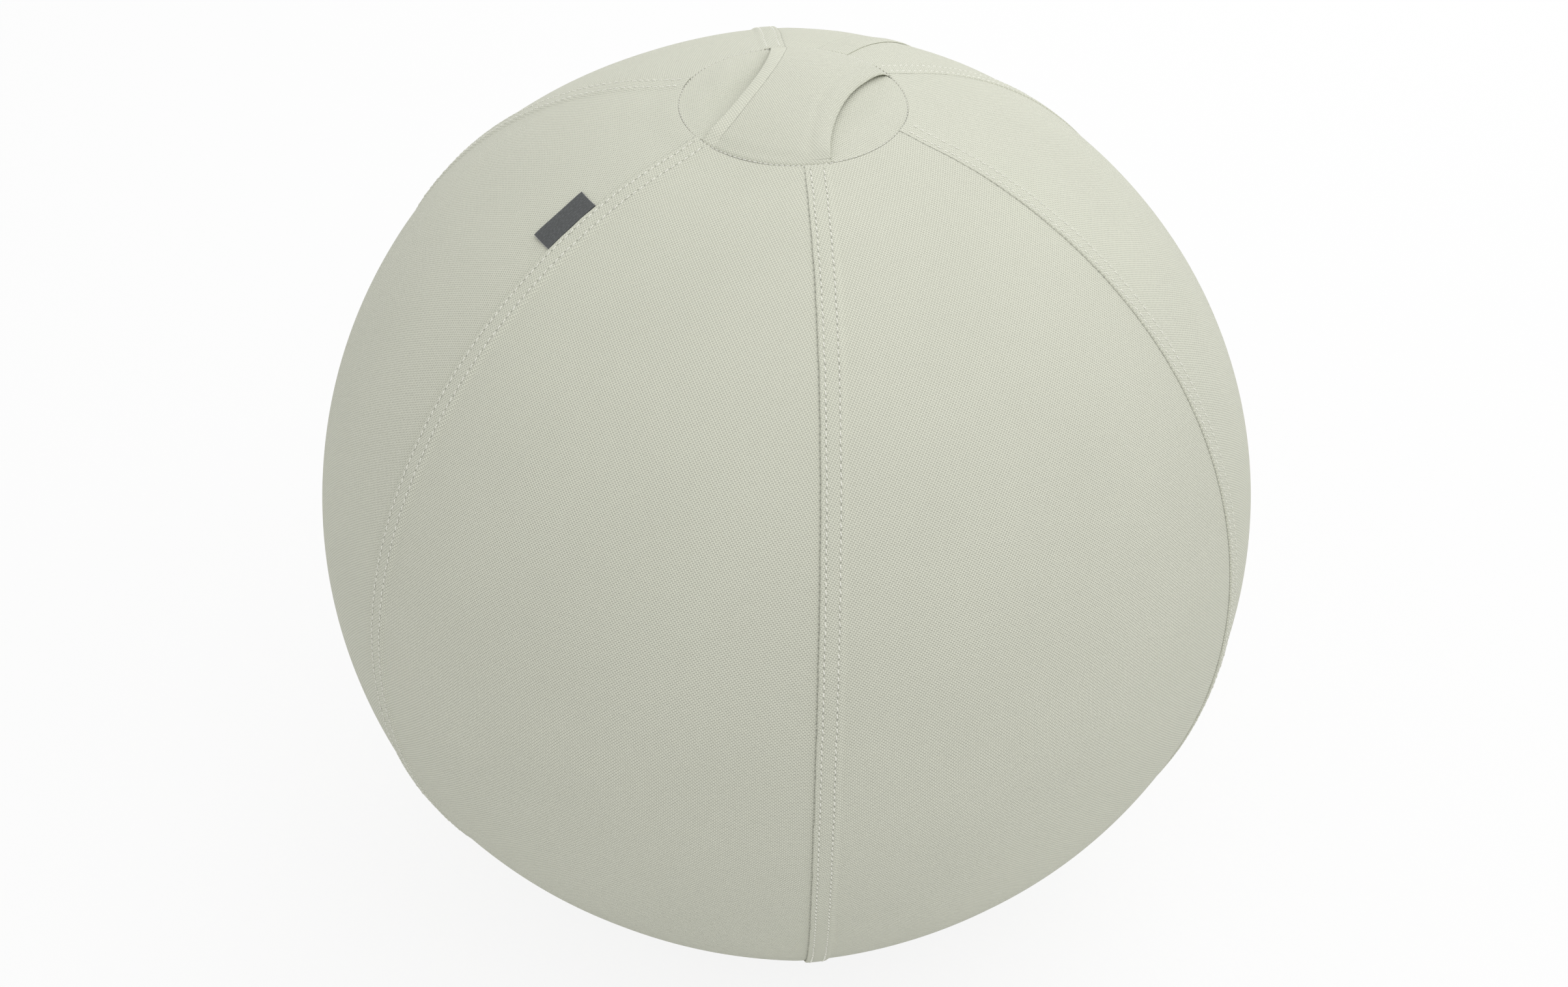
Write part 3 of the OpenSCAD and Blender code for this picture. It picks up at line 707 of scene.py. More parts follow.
def canvas_finish(name, holes=0):
    """Woven canvas in its flat coordinates, with slubs, soft mottling, painted shade in its weave and, on
    panels, in its needle holes and seam ditch.
    """
    cover = settings()[0]
    f = Finish(name, cover.canvas_colour)
    weave = f.vector("weave")
    height = plain_weave(f, weave, cover.thread_pitch)
    slub = f.noise(f.stretch(weave, (0.3, 1, 1)), 900.0, 1.0)
    yarn = f.ramp(height, 0.0, 1.0, eased=False)
    # The weave's pits are painted darker and its beads lighter: painted shade between the yarns, painted
    # light on their crowns.
    tone = f.tones(yarn, 0.74, 1.38)
    tone = f.blotch(tone, slub, 0.35, 0.75, 0.22, 1.22)
    tone = f.blotch(tone, f.noise(weave, 9.0, 3.0), 0.3, 0.7, 0.10, 0.84)
    relief = f.math("ADD", height, f.math("MULTIPLY", slub, 0.25))
    turned = f.math("MINIMUM", f.math("MULTIPLY", f.split(weave)[2], 160.0), 0.16)
    tone = f.toned(tone, turned, 1.30)
    if holes:
        x, y, s = f.split(f.vector("seam"))
        middle = (cover.near_row + cover.far_row) / 2
        half = (cover.far_row - cover.near_row) / 2
        off_middle = f.math("ABSOLUTE", f.math("SUBTRACT", x, middle))
        off_row = f.math("ABSOLUTE", f.math("SUBTRACT", off_middle, half))
        beat = f.math("PINGPONG", s, cover.stitch_length / 2)
        along = f.math("MULTIPLY", beat, 0.5)
        hole = f.math("SQRT", f.math("ADD", f.math("POWER", off_row, 2), f.math("POWER", along, 2)))
        # Needle holes painted dark between the stitches: painted shade in the holes, also dented in the
        # bump.
        dark = f.ramp(hole, 0.2 * MM, 0.7 * MM, holes, 0.0)
        tone = f.toned(tone, dark, 0.28)
        # Painted shade in the ditch beside the right seam, in dashes between the needle holes.
        ditch_shade = f.math("MULTIPLY", f.ramp(f.math("ABSOLUTE", y), 0.0, 1.6 * MM, 0.50, 0.0),
                       f.ramp(beat, 1.3 * MM, 2.4 * MM, 0.45, 1.7))
        tone = f.toned(tone, ditch_shade, 0.5)
        tone = f.toned(tone, f.ramp(x, 0.3 * MM, 2.2 * MM, 0.35, 0.0), 1.12)
        relief = f.math("SUBTRACT", relief, f.math("MULTIPLY", dark, 1.6))
    return f.surface(tone, f.ramp(yarn, 0.0, 1.0, 0.98, 0.86), f.bump(relief, 0.42 * MM),
                     sheen_weight=0.10, sheen_roughness=0.45, specular_ior_level=0.28)


def thread_finish(name, colour):
    """Twisted sewing thread."""
    f = Finish(name, colour)
    x, y, _ = f.split(f.vector("twist"))
    strand = f.ramp(f.math("SINE", f.math("ADD", f.math("MULTIPLY", x, 5200.0), y)), -1.0, 1.0)
    tone = f.blotch(f.tones(strand, 0.78, 1.08), f.noise(f.place(), 260.0), 0.35, 0.7, 0.25, 0.86)
    return f.surface(tone, f.ramp(strand, 0, 1, 0.72, 0.52), f.bump(strand, 0.08 * MM, 0.7),
                     sheen_weight=0.08)


def cloth_finish(name, colour, pitch, tones, spots, rough, relief):
    """Plain cloth in its flat coordinates, with soft spots of another shade."""
    f = Finish(name, colour)
    height = plain_weave(f, f.vector("weave"), pitch)
    scale, share, factor = spots
    tone = f.tones(f.ramp(height, 0.2, 0.9), *tones)
    tone = f.blotch(tone, f.noise(f.place(), scale, 3.0), 0.4, 0.7, share, factor)
    return f.surface(tone, f.ramp(height, 0, 1, *rough), f.bump(height, *relief))


def plastic_finish(name, light, dark, scales, rough):
    """Moulded plastic, a little cloudy, with a fine grain."""
    f = Finish(name)
    cloud, gloss, grain = scales
    place = f.place()
    tone = f.mix(f.ramp(f.noise(place, cloud, 3.0), 0.35, 0.7, 0.0, 0.5), light, dark)
    return f.surface(tone, f.ramp(f.noise(place, gloss), 0.3, 0.7, *rough),
                     f.bump(f.noise(place, grain), 0.03 * MM, 0.5))


# Operators

class SITTING_BALL_OT_stage(Operator):
    """Builds the floor, the light and the camera at the photograph's place"""

    bl_idname = "sitting_ball.stage"
    bl_label = "Stage"

    def execute(self, context):
        stage = settings()[3]
        scene = context.scene
        scene.view_settings.view_transform = "Standard"
        middle = Vector((0, 0, CENTRE_Z))

        camera = bpy.data.cameras.new("photo_camera")
        camera.lens = VIEW_LENS
        camera.sensor_width = 36
        camera.sensor_fit = "HORIZONTAL"
        camera.shift_x = VIEW_SHIFT_X
        camera.clip_end = 50
        eye = bpy.data.objects.new("photo_camera", camera)
        scene.collection.objects.link(eye)
        back = Vector((math.sin(VIEW_AZIMUTH) * math.cos(VIEW_ELEVATION),
                       -math.cos(VIEW_AZIMUTH) * math.cos(VIEW_ELEVATION), math.sin(VIEW_ELEVATION)))
        right = Vector((math.cos(VIEW_AZIMUTH), math.sin(VIEW_AZIMUTH), 0))
        across = math.cos(VIEW_ROLL) * right + math.sin(VIEW_ROLL) * back.cross(right)
        eye.matrix_world = Matrix.Translation(middle + VIEW_DISTANCE * back) @ Matrix(
            (across, back.cross(across), back)).transposed().to_4x4()
        scene.camera = eye

        half = stage.floor_size
        corners = np.array([(-half, -half, 0), (half, -half, 0), (half, half, 0), (-half, half, 0)])
        mesh = new_mesh(corners, [(0, 1, 2, 3)])
        floor = bpy.data.objects.new("floor", mesh)
        floor.location.z = -0.1 * MM
        scene.collection.objects.link(floor)
        mesh.materials.append(self.floor_finish(stage))
        self.light_world(scene, stage)
        self.lamp(scene, "key_lamp", (1.0, -0.1, 2.2), stage.key_power, 2.2, middle)
        self.lamp(scene, "back_lamp", (-0.2, 2.4, 1.9), stage.rim_power, 1.8, middle)
        return {"FINISHED"}

    def floor_finish(self, stage):
        """A pale floor that the camera sees as near white, with the ball's shadow kept on it."""
        f = Finish("pale_floor", stage.floor_colour)
        tone = f.blotch(f.colour, f.noise(f.place(), 40.0, 3.0), 0.3, 0.7, 0.05, 0.9)
        lit = f.node("ShaderNodeBsdfDiffuse", {"Color": tone}).outputs[0]
        white = f.node("ShaderNodeEmission", {"Color": WHITE, "Strength": 1.0}).outputs[0]
        share = f.math("MULTIPLY", f.seen(), 0.86)
        both = f.node("ShaderNodeMixShader", {0: share, 1: lit, 2: white}).outputs[0]
        f.tree.links.new(both, f.tree.nodes["Material Output"].inputs["Surface"])
        f.tree.nodes.remove(f.shader)
        return f.material

    def light_world(self, scene, stage):
        """Even light from all round, which the camera sees as white."""
        world = bpy.data.worlds.new("studio")
        scene.world = world
        world.use_nodes = True
        world.node_tree.nodes.clear()
        n = Nodes(world.node_tree)
        even, white = (n.node("ShaderNodeBackground", {"Color": WHITE, "Strength": strength}).outputs[0]
                       for strength in (stage.sky_strength, 1.0))
        both = n.node("ShaderNodeMixShader", {0: n.seen(), 1: even, 2: white}).outputs[0]
        n.node("ShaderNodeOutputWorld", {"Surface": both})

    def lamp(self, scene, name, place, strength, size, target):
        lamp = bpy.data.lights.new(name, "AREA")
        lamp.shape = "DISK"
        lamp.size = size
        lamp.energy = strength
        obj = bpy.data.objects.new(name, lamp)
        obj.location = place
        obj.rotation_euler = (Vector(place) - target).to_track_quat("Z", "Y").to_euler()
        scene.collection.objects.link(obj)


PANEL_NODES = ["gore_front", "gore_front_right", "gore_back_right", None, "gore_back_left",
               "gore_front_left"]


class SITTING_BALL_OT_panels(Operator):
    """Builds the six lapped panels of the cover, one of them in two halves beside the zip"""

    bl_idname = "sitting_ball.panels"
    bl_label = "Cover Panels"

    def execute(self, context):
        # The number is how dark the needle holes are painted: painted shade in the holes.
        open_holes = canvas_finish("cover_canvas", 0.38)
        shut_holes = canvas_finish("cover_canvas_close", 0.10)
        for k, node in enumerate(PANEL_NODES):
            if node:
                canvas = open_holes if k in OPEN_HOLED else shut_holes
                self.panel(k, node, "lap", "tongue", panel_rows(), 58, canvas)
        rows = panel_rows(np.radians(np.arange(117.4, 120.2, 0.14)))
        self.panel(3, "gore_zip_right", "lap", "zip", rows, 26, shut_holes)
        self.panel(3, "gore_zip_left", "zip", "tongue", rows, 26, shut_holes)
        return {"FINISHED"}

    def panel(self, k, node, left, right, rows, columns, material):
        azimuth, polar, high, low, from_left, to_right = panel_grid(k, left, right, rows, columns)
        outer = cover_points(azimuth, polar, high)
        inner = cover_points(azimuth, polar, low)
        away = 60 * MM
        x = np.clip(from_left, -away, away) if left == "lap" else away
        y = np.clip(to_right, -away, away) if right == "tongue" else away
        weave = weave_grid(azimuth, polar, GORE_ARC * k)
        mesh = shell_mesh(outer, inner, weave, stacked(x, y, GORE_R * polar))
        new_object("cover_" + node, mesh, material, node)


ROUND_THREAD = np.linspace(0, 2 * math.pi, 7)[:-1]


def taper(share):
    """How full a stitch is along its length, from -1 to 1."""
    return np.sqrt(np.maximum(0.12, 1 - share ** 4))[None, :, None]


class SITTING_BALL_OT_topstitching(Operator):
    """Builds the two rows of stitches along each lapped seam"""

    bl_idname = "sitting_ball.topstitching"
    bl_label = "Topstitching"

    def execute(self, context):
        cover = settings()[0]
        thread = thread_finish("sewing_thread", cover.thread_colour)
        for k in range(GORES):
            grid, twist = self.stitches(k, cover)
            mesh = tubes_mesh(grid)
            set_vectors(mesh, "twist", twist)
            new_object("stitches_seam_%d" % (k + 1), mesh, thread)
        return {"FINISHED"}

    def stitches(self, k, cover):
        """Rings of points of every stitch on one seam, and their place along and round the thread."""
        pitch = cover.stitch_length
        first = math.ceil((CROWN_POLAR * GORE_R + 2.5 * MM) / pitch)
        last = math.floor((BASE_POLAR * GORE_R - 2.5 * MM) / pitch)
        centres = (np.arange(first, last) + 0.5) * pitch
        share = np.array([-1, -0.86, -0.5, 0, 0.5, 0.86, 1.0])
        thick = cover.thread_width / 2 * taper(share)
        dive = 0.5 * MM * np.abs(share[None, :]) ** 6
        sunk = (0.16 if k in (2, 3) else -0.06) * MM
        s = centres[:, None] + share[None, :] * 0.34 * pitch
        polar = s / GORE_R
        parts = []
        for row, offset in enumerate((cover.near_row, cover.far_row)):
            slant = (0.3 + 0.12 * ripple(centres * 7.3, k + row)[:, None]) * MM
            level = lap_outer(np.full(s.shape, offset), polar, k + 1) + 0.2 * MM - dive - sunk
            x = offset + slant[..., None] * share[None, :, None] + np.cos(ROUND_THREAD) * thick
            azimuth = folded_edge(k + 1, polar)[..., None] + x * per_metre(polar)[..., None]
            parts.append(cover_points(azimuth, np.broadcast_to(polar[..., None], azimuth.shape),
                                      level[..., None] + np.sin(ROUND_THREAD) * thick * 0.75))
        twist = stacked(s[..., None], ROUND_THREAD)
        return np.concatenate(parts), np.concatenate([twist, twist])


def cap_height(x, y):
    """Height of the top of the cap: a shallow dome, drawn down a little beside the strap."""
    r2 = x * x + y * y
    dome = np.sqrt(CAP_R * CAP_R - r2)
    edge = smooth((CAP_EDGE_R - np.sqrt(r2)) / (16 * MM))
    left = -2.6 * MM * bell((x + 33 * MM - 0.12 * y) / (10 * MM)) * bell((y - 2 * MM) / (44 * MM))
    swell = 1.1 * MM * bell((x + 54 * MM + 0.15 * y) / (9 * MM)) * bell((y - 6 * MM) / (32 * MM))
    right = -1.3 * MM * bell((x - 41 * MM) / (8 * MM)) * bell((y - 12 * MM) / (36 * MM))
    folds = np.sin(2 * math.pi * (x * 0.8 + y * 0.6) / (23 * MM))
    crease = 0.35 * MM * folds * bell((x + 50 * MM) / (14 * MM))
    return CENTRE_Z + dome + (left + swell + right + crease) * edge


class SITTING_BALL_OT_crown_cap(Operator):
    """Builds the round cap of the crown, rolled down into its seam, and the seam's thread"""

    bl_idname = "sitting_ball.crown_cap"
    bl_label = "Crown Cap"

    def execute(self, context):
        turn = np.linspace(0, 2 * math.pi, 216, endpoint=False)
        bare = off_strap(turn)

        def lying(r, drop=0.0):
            return round_z(r, turn, cap_height(r * np.sin(turn), -r * np.cos(turn)) - drop)

        reach = CAP_EDGE_R + 0.72 * MM * bare
        flat = np.concatenate([np.array([0.4, 1.2]), np.linspace(2.4, 69.2, 42), [69.9]]) * MM
        roll_r = (2.2 - 1.6 * bare) * MM
        shoulder = reach - roll_r
        top = lying(shoulder)[:, 2]
        outer = [lying(r) for r in flat]
        for angle in np.radians([0, 15, 30, 45, 60, 75, 90]):
            down = roll_r * (1 - math.cos(angle))
            outer.append(round_z(shoulder + roll_r * math.sin(angle), turn, top - down))
        inner = []
        for out, down, under in ((0, 1.0, 1.5), (0.35, 1.5, 2.0), (1.6, 1.85, 2.3)):
            r = reach + out * MM * bare
            outer.append(round_z(r, turn, RIM_Z - down * MM))
            inner.insert(0, round_z(r - 0.6 * MM, turn, RIM_Z - under * MM))
        inner += [lying(r, CLOTH_T) for r in flat[::-1]]
        grid = np.stack(outer + inner)
        mesh = ring_mesh(grid)
        angle = math.radians(-59)
        px, py = grid[..., 0], grid[..., 1]
        set_vectors(mesh, "weave", stacked(1.14 * (px * math.cos(angle) + py * math.sin(angle)),
                                           py * math.cos(angle) - px * math.sin(angle)))
        obj = new_object("crown_cap_canvas", mesh, canvas_finish("cap_canvas"), "crown_cap")
        self.seam_thread()
        return {"FINISHED"}

    def seam_thread(self):
        """The thread that shows in the crown seam, in short stitches between the cap and the panels."""
        turn = 2 * math.pi * (np.arange(SEAM_STITCHES) + 0.5) / SEAM_STITCHES
        strapped = 1 - off_strap(turn)[:, None, None]
        share = np.array([-1, -0.8, 0, 0.8, 1.0])
        at = turn[:, None, None] + share[None, :, None] * 0.40 * 2 * math.pi / SEAM_STITCHES
        thick = (0.34 + 0.16 * strapped) * MM * taper(share)
        r = CROWN_SEAM_R + (0.05 + 0.62 * strapped) * MM + thick * np.cos(ROUND_THREAD)
        level = 0.02 - 0.02 * strapped - 0.25 * share[None, :, None] ** 4
        z = RIM_Z + level * MM + thick * np.sin(ROUND_THREAD)
        mesh = tubes_mesh(round_z(r, at, z))
        set_vectors(mesh, "twist", stacked(at * CROWN_SEAM_R, ROUND_THREAD))
        material = thread_finish("seam_thread", shade_of(settings()[0].thread_colour, 0.86))
        new_object("stitches_crown_seam", mesh, material)


class SITTING_BALL_OT_strap(Operator):
    """Builds the carrying strap over the cap, with its folded hems"""

    bl_idname = "sitting_ball.strap"
    bl_label = "Carrying Strap"

    def execute(self, context):
        crown = settings()[1]
        hem = crown.hem_width
        rows = [self.turned_down(hem, 1, *row) for row in self.ends()]
        lying = np.concatenate([np.linspace(0.955, 0.9, 6), np.linspace(0.88, -0.88, 74),
                                np.linspace(-0.9, -0.955, 6)])
        rows += [self.arched(hem, crown, s) for s in lying]
        rows += [self.turned_down(hem, -1, *row) for row in self.ends()[::-1]]
        outer, inner, x, inward = (np.stack(part) for part in zip(*rows))
        turn = np.array(Matrix.Rotation(STRAP_TURN, 3, "Z")).T
        outer, inner = outer @ turn, inner @ turn
        mesh = shell_mesh(outer, inner, self.grain(outer, x, inward, hem))
        obj = new_object("carrying_strap", mesh, canvas_finish("strap_canvas"), "handle_strap")
        return {"FINISHED"}

    def ends(self):
        """Radius, height and tilt of the rows where an end of the strap goes down into the seam."""
        rows = [(CROWN_SEAM_R, RIM_Z - TUCK, 0.0)]
        for tilt in np.radians([0, 15, 30, 45, 60, 75]):
            rows.append((CROWN_SEAM_R - STRAP_BEND * (1 - math.cos(tilt)),
                         RIM_Z - 1.5 * MM + STRAP_BEND * math.sin(tilt), tilt))
        return rows

    def section(self, half, hem):
        """Places across the strap, and their distances from its nearer edge."""
        edge = np.array([0, 0.06, 0.25, 0.6, 1.1, 2, 3.4, 5, 6.8, 8.2, 9.2, 9.99, 10.01, 11, 12.6]) * MM
        left = -half + edge * (hem / (10 * MM))
        right = -left[::-1]
        x = np.concatenate([left, np.linspace(left[-1], right[0], 26)[1:-1], right])
        return x, half - np.abs(x)

    def faces(self, centre, normal, x, inward, double, hem):
        """Both faces of a row of the strap, as thick as its layers, with its own coordinates."""
        hemmed = 1 - smooth((inward - hem + 1.2 * MM) / (3.0 * MM))
        roll = (0.35 * bell((inward - 0.5 * hem) / (0.3 * hem))
                - 0.8 * bell((inward - 1.2 * hem) / (0.25 * hem))) * (x > 0)
        up = 0.5 * CLOTH_T + (0.2 * (inward < hem) * (x < 0) + roll) * MM * double
        down = 0.5 * CLOTH_T + CLOTH_T * 0.95 * hemmed * double
        mean = (up - down) / 2
        thick = (up + down) / 2 * np.maximum(rounded(inward, 0.9 * MM), 0.08)
        outer, inner = (centre + normal * level[:, None] for level in (mean + thick, mean - thick))
        return outer, inner, x, inward

    def turned_down(self, hem, side, r, z, tilt):
        x, inward = self.section(STRAP_END_HALF, hem)
        x = (x + STRAP_SHIFT) * r / CROWN_SEAM_R
        y = side * np.sqrt(r * r - x * x)
        normal = stacked(x / r * math.cos(tilt), y / r * math.cos(tilt), math.sin(tilt))
        return self.faces(stacked(x, y, z), normal, x, inward, 0.0, hem)

    def arched(self, hem, crown, s):
        """A row over the cap, s from 1 at the back seam to -1 at the front one."""
        mid_half = crown.strap_waist / 2
        half = mid_half + (STRAP_END_HALF - mid_half) * s * s
        x, inward = self.section(half, hem)
        share = x / half
        x = x + STRAP_SHIFT
        y = s * np.sqrt(CROWN_SEAM_R ** 2 - x * x)
        z = np.sqrt(CAP_R * CAP_R - x * x - y * y)
        rise = 1 - s * s
        along = (1 - abs(s)) * CROWN_SEAM_R
        layers = CLOTH_T * smooth((along - 3 * MM) / (8 * MM))
        lift = 0.05 * MM + crown.strap_arch * rise + CLOTH_T / 2 + layers
        hang = np.where(share > 0, 2.4 * np.clip(1 - inward / (12 * MM), 0, 1) ** 2,
                        0.7 * np.clip(1 - inward / (8 * MM), 0, 1) ** 2)
        droop = MM * rise * smooth(1.2 * rise) * (2.6 * np.abs(share) ** 3 + hang)
        sag = 0.3 * MM * math.sin(5.2 * s + 0.6) * rise * np.sin(share * 2.2 + 0.4)
        centre = stacked(x, y, CENTRE_Z + z + lift - droop + sag)
        normal = stacked(x, y, z) / CAP_R
        return self.faces(centre, normal, x, inward, smooth((0.95 - abs(s)) / 0.12), hem)

    def grain(self, outer, x, inward, hem):
        """Flat coordinates of the strap's cloth, and of the hem turned over on its left."""
        run = running(steps(outer, 0).mean(axis=1))[:, None]
        turned = (inward < hem) & (x < 0)
        angle = np.where(turned, 0, math.radians(7))
        flat = stacked(x * np.cos(angle) + run * np.sin(angle), run * np.cos(angle) - x * np.sin(angle))
        flat = flat * np.where(turned[..., None], (0.82, 0.95, 1), (1.06, 1.3, 1))
        flat[..., 2] = np.where(turned, MM, 0)
        return flat


class SITTING_BALL_OT_label(Operator):
    """Builds the bare woven label in the seam left of the front panel"""

    bl_idname = "sitting_ball.label"
    bl_label = "Woven Label"

    def execute(self, context):
        crown = settings()[1]
        length_m, width = crown.label_length, crown.label_width
        along = np.concatenate([[0, 0.1, 0.3], np.linspace(0.8, 39.2, 40), [39.7, 39.9, 40]])
        along = along[:, None] / 40
        polar = LABEL_POLAR + length_m / GORE_R * (along - 0.5)
        back = np.concatenate([[0.15], np.linspace(0.6, 18.2, 22), [18.6, 18.85, 18.97, 19.0]])
        back = back[None, ::-1] * MM * (width / (19 * MM))
        out = width - back
        azimuth = seam_azimuth(-1, polar) - back * per_metre(polar)
        polar = np.broadcast_to(polar, azimuth.shape)
        free = smooth((back - 2 * MM) / (17 * MM))
        curl = (0.5 * free + 0.55 * free * smooth((along - 0.6) / 0.4)) * MM
        wave = 0.12 * MM * np.sin(9 * along + 1) * free
        middle = CLOTH_T + 0.52 * MM + curl + wave
        half = LABEL_HALF_T * np.maximum(rounded(out, 0.42 * MM), 0.06)
        outer = cover_points(azimuth, polar, middle + half)
        inner = cover_points(azimuth, polar, middle - half)
        mesh = shell_mesh(outer, inner, stacked(-back, along * length_m),
                          stacked(np.minimum(along, 1 - along) * length_m, out))
        obj = new_object("woven_label", mesh, self.satin(crown), "loop_label")
        return {"FINISHED"}

    def satin(self, crown):
        """Close satin weave with a pale cut edge at the two ends."""
        f = Finish("label_satin", crown.label_colour)
        weave = f.vector("weave")
        height = plain_weave(f, f.stretch(weave, (1.0, 0.7, 1.0)), 0.42 * MM)
        tone = f.tones(f.ramp(height, 0.1, 0.9), 0.35, 1.25)
        tone = f.blotch(tone, f.noise(f.stretch(weave, (1, 0.5, 1)), 1100.0), 0.4, 0.7, 0.5, 1.9)
        end, out, _ = f.split(f.vector("seam"))
        tone = f.mix(f.ramp(end, 0.15 * MM, 0.45 * MM, 0.85, 0.0), tone, (0.42, 0.42, 0.40, 1))
        tone = f.toned(tone, f.ramp(out, 0.1 * MM, 0.7 * MM, 0.35, 0.0), 1.9)
        return f.surface(tone, f.ramp(height, 0, 1, 0.75, 0.5), f.bump(height, 0.05 * MM, 0.6),
                         sheen_weight=0.05)


class SITTING_BALL_OT_foot(Operator):
    """Builds the foot's grip panel, the pocketed weight pad and the lining over it"""

    bl_idname = "sitting_ball.foot"
    bl_label = "Weighted Foot"

    def execute(self, context):
        fittings = settings()[2]
        self.grip_panel(fittings)
        self.weight_pad(fittings)
        self.lining(fittings)
        return {"FINISHED"}

    def grip_panel(self, fittings):
        def arc(r, start, stop, count):
            """Points of a circle round the ball's middle, between two distances from its axis."""
            angles = np.linspace(math.asin(start / r), math.asin(stop / r), count)
            return [(r * math.sin(a), CENTRE_Z - r * math.cos(a)) for a in angles]

        inner_r = GORE_R - PANEL_T
        radii = np.concatenate([[0.5], np.arange(4, 97, 4.0), [98, 99]]) * MM
        outer = [(r, 0.0) for r in radii] + arc(GORE_R, FOOT_R, BASE_RIM_R - 0.2 * MM, 10)
        upper = CENTRE_Z - math.sqrt(inner_r ** 2 - (BASE_RIM_R - 0.5 * MM) ** 2)
        rim = [(BASE_RIM_R, outer[-1][1] + 0.5 * MM), (BASE_RIM_R - 0.3 * MM, upper)]
        foot_in = math.sqrt(inner_r ** 2 - (CENTRE_Z - PANEL_T) ** 2)
        inside = arc(inner_r, BASE_RIM_R - 1.2 * MM, foot_in, 9)
        inside += [(r, PANEL_T) for r in radii[::-1] if r < foot_in - 1 * MM]
        mesh = flat_ring_mesh(lathe(outer + rim + inside, 180)[::-1])
        f = Finish("grip_canvas", fittings.foot_colour)
        weave = f.vector("weave")
        height = plain_weave(f, weave, 1.1 * MM)
        dots = f.node("ShaderNodeTexVoronoi", {"Vector": f.stretch(weave, (1, 1, 0)), "Scale": 165.0,
                                               "Randomness": 0.0}).outputs["Distance"]
        dot = f.ramp(dots, 0.28, 0.36, 1.0, 0.0)
        tone = f.toned(f.tones(f.ramp(height, 0.2, 0.9), 0.6, 1.15), dot, 0.5)
        tone = f.blotch(tone, f.noise(f.place(), 22.0, 4.0), 0.45, 0.75, 0.35, 2.0)
        relief = f.math("ADD", f.math("MULTIPLY", height, 0.5), f.math("MULTIPLY", dot, 1.6))
        material = f.surface(tone, f.ramp(dot, 0, 1, 0.9, 0.55), f.bump(relief, 0.3 * MM, 0.8))
        obj = new_object("grip_panel", mesh, material, "base_panel")

    def weight_pad(self, fittings):
        """Pillowy pockets of sand round a hole, with flat sewn channels between them."""
        pockets = fittings.pockets
        turn = np.linspace(0, 2 * math.pi, POCKET_SECTORS * pockets, endpoint=False)
        across = np.concatenate([[0, 0.01, 0.03], np.linspace(0.06, 0.94, 26), [0.97, 0.99, 1.0]])
        across = across[:, None]
        radius = PAD_HOLE_R + (PAD_R - PAD_HOLE_R) * across
        place = (turn * pockets / (2 * math.pi) + 2.5 / POCKET_SECTORS) % 1.0
        arc = radius * 2 * math.pi / pockets
        inset = 1 - np.abs(2 * place[None, :] - 1)
        to_end = np.minimum(across, 1 - across) * (PAD_R - PAD_HOLE_R)
        swell = rounded(inset * arc / 2, POCKET_ROUND) * rounded(to_end, POCKET_ROUND)
        grains = 0.12 * np.sin(radius * 410 + 3 * np.sin(turn * 17)) * np.sin(turn * 43 + radius * 230)
        swell = swell * (1 + 0.25 * grains * swell)
        half = (PAD_SEAM_T + (PAD_H - 0.9 * MM - PAD_SEAM_T) * swell) / 2
        middle = PAD_Z0 + 0.15 * MM + half.max() + (half - half.max()) * 0.55
        top, low = (round_z(radius, turn, z) for z in (middle + half, middle - half))
        mesh = flat_ring_mesh(np.concatenate([top, low[::-1]]))
        material = cloth_finish("pad_ticking", fittings.ticking_colour, pitch=0.7 * MM,
                                tones=(0.72, 1.08), spots=(60.0, 0.3, 0.7), rough=(0.95, 0.8),
                                relief=(0.15 * MM, 0.7))
        new_object("weight_pad", mesh, material, "ballast_pad")

    def lining(self, fittings):
        edge_r = LINING_R + LINING_REACH
        low = CENTRE_Z - math.sqrt((GORE_R - PANEL_T) ** 2 - edge_r ** 2) + 0.3 * MM
        under = LINING_Z1 - LINING_T

        def skirt(r, z, shares):
            """The lining's edge, which comes down on the grip panel."""
            return [(r + LINING_REACH * t, z + (low - z) * t ** 0.9) for t in shares]

        radii = np.concatenate([[0.5], np.arange(5, 96, 5.0), [98, 100]]) * MM
        top = [(r, LINING_Z1) for r in radii] + [(LINING_R - 0.4 * MM, LINING_Z1 - 0.2 * MM)]
        top += skirt(LINING_R, LINING_Z1, np.linspace(0.06, 1, 8))
        bottom = [(edge_r - 1 * MM, low)] + skirt(LINING_R - 1 * MM, under, np.linspace(0.92, 0.06, 7))
        bottom += [(LINING_R - 1.4 * MM, under)] + [(r, under) for r in radii[::-1] if r < 99.5 * MM]
        mesh = flat_ring_mesh(lathe(top + bottom, 180))
        material = cloth_finish("lining_cloth", fittings.lining_colour, pitch=0.5 * MM,
                                tones=(0.8, 1.05), spots=(30.0, 0.2, 0.8), rough=(0.75, 0.55),
                                relief=(0.08 * MM, 0.6))
        new_object("pad_lining", mesh, material, "base_lining")


